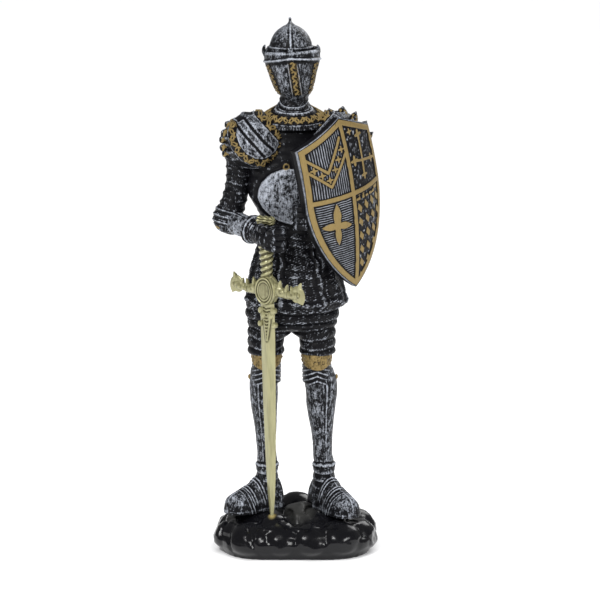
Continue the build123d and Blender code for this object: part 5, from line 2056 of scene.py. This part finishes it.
# ---- Sword -----------------------------------------------------------------------------------
@dataclass
class Sword:
    """The plated sword, in its own axes: X along the guard, Y through the blade and Z to the pommel.

    Attributes:
        finishes: The finishes.
        yaw: Turn of the guard about the upright, in degrees.
        point: X and Y of its point.
        guard_at: Height of the medallion's middle above the point.
        blade_length: Length of the blade.
        grip_end: Height of the grip's end above the point.
    """

    finishes: Finishes
    yaw: float = -38.0
    point: tuple[float, float] = (-8.1, -10.5)
    guard_at: float = 80.9
    blade_length: float = 76.6
    grip_end: float = 103.0

    def pose(self) -> Pose:
        """Where the sword's own axes lie, from the joint that it slides on."""
        joint = next(j for j in frame["record"]["behaviour"]["joints"] if j["name"] == "sword_lift")
        axis = np.array(joint["axis"], dtype=float)
        low, _ = casting_box("sword_blade")
        tip = (*self.point, low[2])
        return Pose(tip, (math.cos(math.radians(self.yaw)), math.sin(math.radians(self.yaw)), 0.0),
                    tuple(axis))

    def build(self) -> None:
        """Builds the blade, the guard, the grip and the pommel."""
        pose = self.pose()
        self.build_blade(pose)
        self.build_guard(pose)
        self.build_grip(pose)
        self.build_pommel(pose)

    def build_blade(self, pose: Pose) -> None:
        """The tapering blade with a V-shaped panel of scales under the guard."""
        rows = []
        for share, half in ((0.0, 0.15), (0.05, 0.8), (0.15, 1.6), (0.3, 2.15), (0.5, 2.6), (0.75, 2.9),
                            (0.9, 3.0), (1.0, 2.9)):
            rows.append((0, 0, self.blade_length * share, half, 0.55 + 0.35 * share, 0.55 + 0.35 * share))
        form = Form(rows, power=1.15, cap=0.01, pose=pose)
        panel = self.blade_length

        def scales(clay: Clay) -> None:
            """Scales inside a narrow V, with painted shade between them, and a soft flat along each edge."""
            clay.silver += 0.05
            depth = panel - clay.z
            wide = 2.2 * (1.0 - depth / 13.5)
            held = (depth < 13.0) & (depth > 1.5)
            rail = hump(np.abs(clay.x), np.maximum(wide, 0.0), 0.42) * held
            clay.height += 0.22 * rail
            inner = (np.abs(clay.x) < wide - 0.3) & held
            ridge = np.sin(depth * 2 * math.pi / 1.1 + 1.2 * np.abs(clay.x))
            clay.height += np.where(inner, 0.12 * ridge, 0.0)
            # Painted shade: the scales' panel is darkened, most between the ridges.
            clay.silver += np.where(inner, 0.25 * ridge - 0.35, 0.0)
            clay.height += 0.03 * rough(clay.place, 3.0, 35, 2)

        meshes = [work("blade", form, 72, 300, scales, edges=3.0)]
        for x, z, size in ((-1.45, 72.4, 1.25), (1.45, 72.4, 1.25), (-2.9, 69.4, 0.9), (2.9, 69.2, 0.9),
                           (-2.6, 74.0, 1.0), (2.6, 74.0, 1.0)):
            boss = Form([(x, 0, z - size, 0.5 * size, 1.2, 1.2),
                         (x, 0, z - 0.4 * size, 0.95 * size, 1.35, 1.35),
                         (x, 0, z + 0.4 * size, 0.95 * size, 1.35, 1.35),
                         (x, 0, z + size, 0.5 * size, 1.2, 1.2)],
                        cap=0.12, pose=pose)
            meshes.append(work("boss", boss, 30, 20, None))
        piece("sword_blade", meshes, self.finishes.plating, ["sword_blade"], Body.SWORD)

    def build_guard(self, pose: Pose) -> None:
        """The cross-guard: scrolled arms, crest and oval medallion."""
        z = self.guard_at
        meshes = []
        arms = (
            (-15.0, 0.6, 0.8), (-14.0, 0.6, 1.3), (-12.4, 0.4, 1.5), (-10.6, 0.1, 1.3), (-8.8, -0.2, 1.4),
            (-6.8, -0.1, 1.7), (-5.0, 0.2, 2.1), (-3.0, 0.4, 2.5), (0.0, 0.5, 2.7), (3.0, 0.4, 2.5),
            (5.0, 0.2, 2.1), (6.8, -0.3, 1.7), (8.8, -0.6, 1.4), (10.6, -0.8, 1.3), (12.4, -0.7, 1.5),
            (14.0, -0.4, 1.3), (15.0, -0.2, 0.8),
        )
        rows = [(0.94 * x, 0, z + rise, deep, 1.2, 1.2) for x, rise, deep in arms]
        beam = Form(rows, across=(0, 0, 1), level=False, cap=0.03, pose=pose)

        def scrollwork(clay: Clay) -> None:
            """Swirls pressed into the arms, with a little painted shade in them."""
            curl = np.hypot((np.abs(clay.x) % 4.4) - 2.2, clay.z - z)
            swirl = np.sin(curl * 3.4 + np.arctan2(clay.z - z, (np.abs(clay.x) % 4.4) - 2.2))
            flat = ramp(np.abs(np.cos(clay.turn)), 0.05, 0.5)
            clay.height += 0.05 * swirl * flat + 0.10 * grain(clay.place, 0.9, 36)
            # A little painted shade in the swirls.
            clay.silver += 0.05 * swirl - 0.04

        meshes.append(work("arms", beam, 90, 170, scrollwork, edges=1.5))
        crests = (
            (-13.4, 2.9, -0.7, 0.8), (-10.6, 1.2, 0.5, 0.7), (-8.2, 1.2, -0.5, 0.6), (-5.4, 2.0, -0.3, 0.7),
            (5.4, 1.9, 0.3, 0.7), (8.2, 0.9, 0.5, 0.7), (10.6, 0.5, -0.5, 0.6), (13.6, 2.0, 0.7, 0.8),
        )
        for x, rise, lean, size in crests:
            spike = Form([(x, 0, z + rise - 0.6, size, 1.0, 1.0),
                          (x + 0.3 * lean, 0, z + rise + 1.0, 0.75 * size, 0.8, 0.8),
                          (x + lean, 0, z + rise + 1.9, 0.2, 0.2, 0.2)], cap=0.1, pose=pose)
            meshes.append(work("crest", spike, 20, 16, None))
        for sign in (-1, 1):
            spiral = []
            for step in range(9):
                angle = math.radians(-60 + 48 * step)
                radius = 2.6 - 0.24 * step
                spiral.append((sign * (12.6 + radius * 0.75 * math.cos(angle)), 0.0,
                               z + 0.4 - 1.0 * (sign > 0) + radius * math.sin(angle), 0.62, 1.5, 1.5))
            coil = Form(spiral, across=(0, 1, 0), level=False, cap=0.05, pose=pose)
            meshes.append(work("scroll", coil, 24, 60))
        for side in (-1, 1):
            oval = Pose(tuple(pose.to_frame(np.array([[0.0, 0.0, z]]))[0]), tuple(pose.axes()[0]),
                        tuple(-side * pose.axes()[1]))
            disc = Form([(0, 0, 0.2, 4.0, 5.0, 5.0), (0, 0, 1.5, 3.9, 4.9, 4.9), (0, 0, 2.0, 3.6, 4.6, 4.6)],
                        cap=0.42, pose=oval)

            def medal(clay: Clay) -> None:
                """A raised double rim round a plain hollow, with painted shade in the groove between the rims
                and in the hollow.
                """
                top, hollow = clay.along > 0.99, clay.edge < 0.62
                rims = 0.32 * hump(clay.edge, 0.93, 0.12) + 0.16 * hump(clay.edge, 0.70, 0.09) - 0.1
                # Painted shade in the groove between the rims and in the hollow.
                dark = 0.55 * hump(clay.edge, 0.81, 0.09) + 0.22 * hollow
                clay.height += np.where(top, rims, 0.0)
                clay.silver -= np.where(top, dark, 0.0)
                clay.height += np.where(top & hollow, 0.06 * rough(clay.place, 1.2, 37, 2), 0.0)

            meshes.append(work("medallion", disc, 80, 80, medal, edges=3.0))
        piece("sword_guard", meshes, self.finishes.plating, ["sword_guard"], Body.SWORD)

    def build_grip(self, pose: Pose) -> None:
        """The grip, wound with a thick spiral."""
        start = self.guard_at + 4.3
        rows = []
        for share, radius in ((0.0, 1.85), (0.12, 1.8), (0.4, 2.15), (0.7, 2.45), (1.0, 2.3)):
            rows.append((0, 0, start + (self.grip_end - start) * share, radius, radius, radius))
        form = Form(rows, cap=0.03, pose=pose)

        def winding(clay: Clay) -> None:
            """Diagonal ribs rising to the knight's left, with painted shade between them."""
            twist = (clay.z - 0.62 * clay.turn) * 2 * math.pi / 1.95
            rib = np.sin(twist)
            clay.height += 0.24 * rib
            # Painted shade between the ribs.
            clay.silver += 0.35 * rib - 0.1

        piece("sword_grip", [work("grip", form, 72, 130, winding, edges=3.0)], self.finishes.plating,
              ["sword_grip"], Body.SWORD)

    def build_pommel(self, pose: Pose) -> None:
        """The pommel, a spool lying across the grip."""
        z = self.grip_end
        form = Form([(-3.2, 0, z + 1.3, 1.0, 1.0, 1.0), (-2.7, 0, z + 1.3, 1.5, 1.6, 1.6),
                     (-2.0, 0, z + 1.3, 1.35, 1.4, 1.4),
                     (-1.3, 0, z + 1.3, 1.1, 1.3, 1.3), (0, 0, z + 1.35, 1.45, 1.6, 1.6),
                     (1.3, 0, z + 1.3, 1.1, 1.3, 1.3),
                     (2.0, 0, z + 1.3, 1.35, 1.4, 1.4), (2.7, 0, z + 1.3, 1.5, 1.6, 1.6),
                     (3.2, 0, z + 1.3, 1.0, 1.0, 1.0)],
                    across=(0, 0, 1), level=False, cap=0.05, pose=pose)

        def lobes(clay: Clay) -> None:
            """Shallow lobes round the spool, with painted shade between them."""
            clay.height += 0.10 * np.cos(clay.turn * 8.0)
            # Painted shade between the lobes.
            clay.silver += 0.2 * np.cos(clay.turn * 8.0)

        piece("sword_pommel", [work("pommel", form, 60, 50, lobes, edges=3.0)], self.finishes.plating,
              ["sword_pommel"], Body.SWORD)


# ---- Studio ----------------------------------------------------------------------------------
@dataclass
class Studio:
    """Plain pale floor, soft lights and the camera.

    Attributes:
        camera_at: Where the camera is, in metres.
        pitch_down: How far it looks down, in degrees.
        lens: Its focal length, in millimetres.
        sensor: Width of its sensor, in millimetres.
        ambient: Strength of the surroundings on the figure.
        floor_half: Half the floor's width, in metres.
        sun: Strength of the softbox.
    """

    camera_at: Point = (0.001324, -0.850, 0.228)
    pitch_down: float = 9.528
    lens: float = 153.44
    sensor: float = 36.0
    ambient: float = 0.20
    floor_half: float = 7.0
    sun: float = 3.2

    def build(self) -> None:
        """Sets the stage."""
        self.add_floor()
        self.add_world()
        self.add_light("key", (-0.32, -0.50, 0.55), 0.22, 2.6)
        self.add_light("fill", (0.50, -0.46, 0.34), 0.18, 1.5)
        self.add_light("rim", (0.30, 0.50, 0.45), 0.35, 1.4)
        self.add_sky()
        self.add_camera()

    def add_floor(self) -> None:
        """A wide pale floor."""
        bm = bmesh.new()
        bmesh.ops.create_grid(bm, x_segments=2, y_segments=2, size=self.floor_half)
        mesh = bpy.data.meshes.new("floor")
        bm.to_mesh(mesh)
        bm.free()
        pale, _, shader = blank_finish("pale_floor")
        shader.inputs["Base Color"].default_value = (0.985, 0.985, 0.99, 1.0)
        shader.inputs["Roughness"].default_value = 0.7
        mesh.materials.append(pale)
        floor = bpy.data.objects.new("floor", mesh)
        bpy.context.scene.collection.objects.link(floor)

    def add_world(self) -> None:
        """White surroundings."""
        world = bpy.data.worlds.new("white_room")
        world.use_nodes = True
        sky = world.node_tree.nodes["Background"]
        sky.inputs["Color"].default_value = (1.0, 1.0, 1.0, 1.0)
        bench = Bench(world.node_tree)
        seen = bench.add("ShaderNodeLightPath").outputs["Is Camera Ray"]
        bench.feed(sky, "Strength", bench.sum("ADD", bench.sum("MULTIPLY", seen, 1.0 - self.ambient),
                                              self.ambient))
        bpy.context.scene.world = world
        bpy.context.scene.view_settings.view_transform = "Standard"

    def add_light(self, name: str, place: Point, size: float, power: float) -> None:
        """A square soft light that faces the figure.

        Args:
            name: Its name.
            place: Where it is, in metres.
            size: Length of its side.
            power: Watts.
        """
        data = bpy.data.lights.new(name, "AREA")
        data.shape = "SQUARE"
        data.size = size
        data.energy = power
        light = bpy.data.objects.new(name, data)
        light.location = place
        aim = Vector((0.0, 0.0, 0.09)) - Vector(place)
        light.rotation_euler = aim.to_track_quat("-Z", "Y").to_euler()
        bpy.context.scene.collection.objects.link(light)

    def add_sky(self) -> None:
        """Even light from a wide softbox overhead, which also whitens the far floor."""
        data = bpy.data.lights.new("softbox", "SUN")
        data.angle = math.radians(100.0)
        data.energy = self.sun
        light = bpy.data.objects.new("softbox", data)
        light.rotation_euler = (math.radians(24.0), 0.0, 0.0)
        light.visible_glossy = False
        bpy.context.scene.collection.objects.link(light)

    def add_camera(self) -> None:
        """The camera, a little above the knight and looking slightly down."""
        data = bpy.data.cameras.new("camera")
        data.lens = self.lens
        data.sensor_width = self.sensor
        camera = bpy.data.objects.new("camera", data)
        camera.location = self.camera_at
        camera.rotation_euler = (math.radians(90.0 - self.pitch_down), 0.0, 0.0)
        bpy.context.scene.collection.objects.link(camera)
        bpy.context.scene.camera = camera


def main() -> None:
    """Builds and dresses the whole figure."""
    logging.basicConfig(level=logging.INFO)
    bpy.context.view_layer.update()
    finishes = Finishes()
    Studio().build()
    RockBase(finishes).build()
    right_shin = ((27.6, -9.9, 4.0, 4.5), (28.8, -9.85, 3.6, 4.1), (31.0, -9.95, 3.3, 3.8),
                  (36.0, -10.25, 3.3, 3.9),
                  (42.0, -10.45, 3.75, 4.4), (48.0, -10.85, 4.35, 5.1), (53.0, -10.95, 4.75, 5.5),
                  (57.0, -11.0, 4.75, 5.6), (62.0, -10.2, 5.1, 5.9))
    left_shin = ((27.6, 9.5, 4.0, 4.5), (28.8, 9.5, 3.6, 4.1), (31.0, 9.15, 3.25, 3.8),
                 (35.0, 9.0, 3.25, 3.9),
                 (40.0, 8.85, 3.65, 4.4), (45.0, 8.6, 4.35, 5.0), (50.0, 8.5, 5.0, 5.6),
                 (54.0, 8.65, 5.3, 5.8), (58.0, 8.2, 5.45, 5.9), (62.0, 7.25, 5.1, 5.9))
    Leg(Side.RIGHT, finishes, right_shin, toe=16.3, splay=-57.0).build()
    Leg(Side.LEFT, finishes, left_shin, toe=17.6, splay=34.0).build()
    Trunk(finishes).build()
    Helmet(finishes).build()
    Pauldron(Side.RIGHT, finishes).build()
    Pauldron(Side.LEFT, finishes).build()
    Arm(Side.RIGHT, finishes, (-20.1, 0.0, 138.7), (-22.7, 1.0, 112.5), (-8.7, -14.5, 109.1)).build()
    Arm(Side.LEFT, finishes, (16.6, 2.0, 138.7), (18.7, -2.8, 118.3), (4.5, -16.1, 116.5),
        sleeve_bow=1.0).build()
    Shield(finishes).build()
    Straps(finishes).build()
    Sword(finishes).build()


if __name__ == "__main__":
    main()
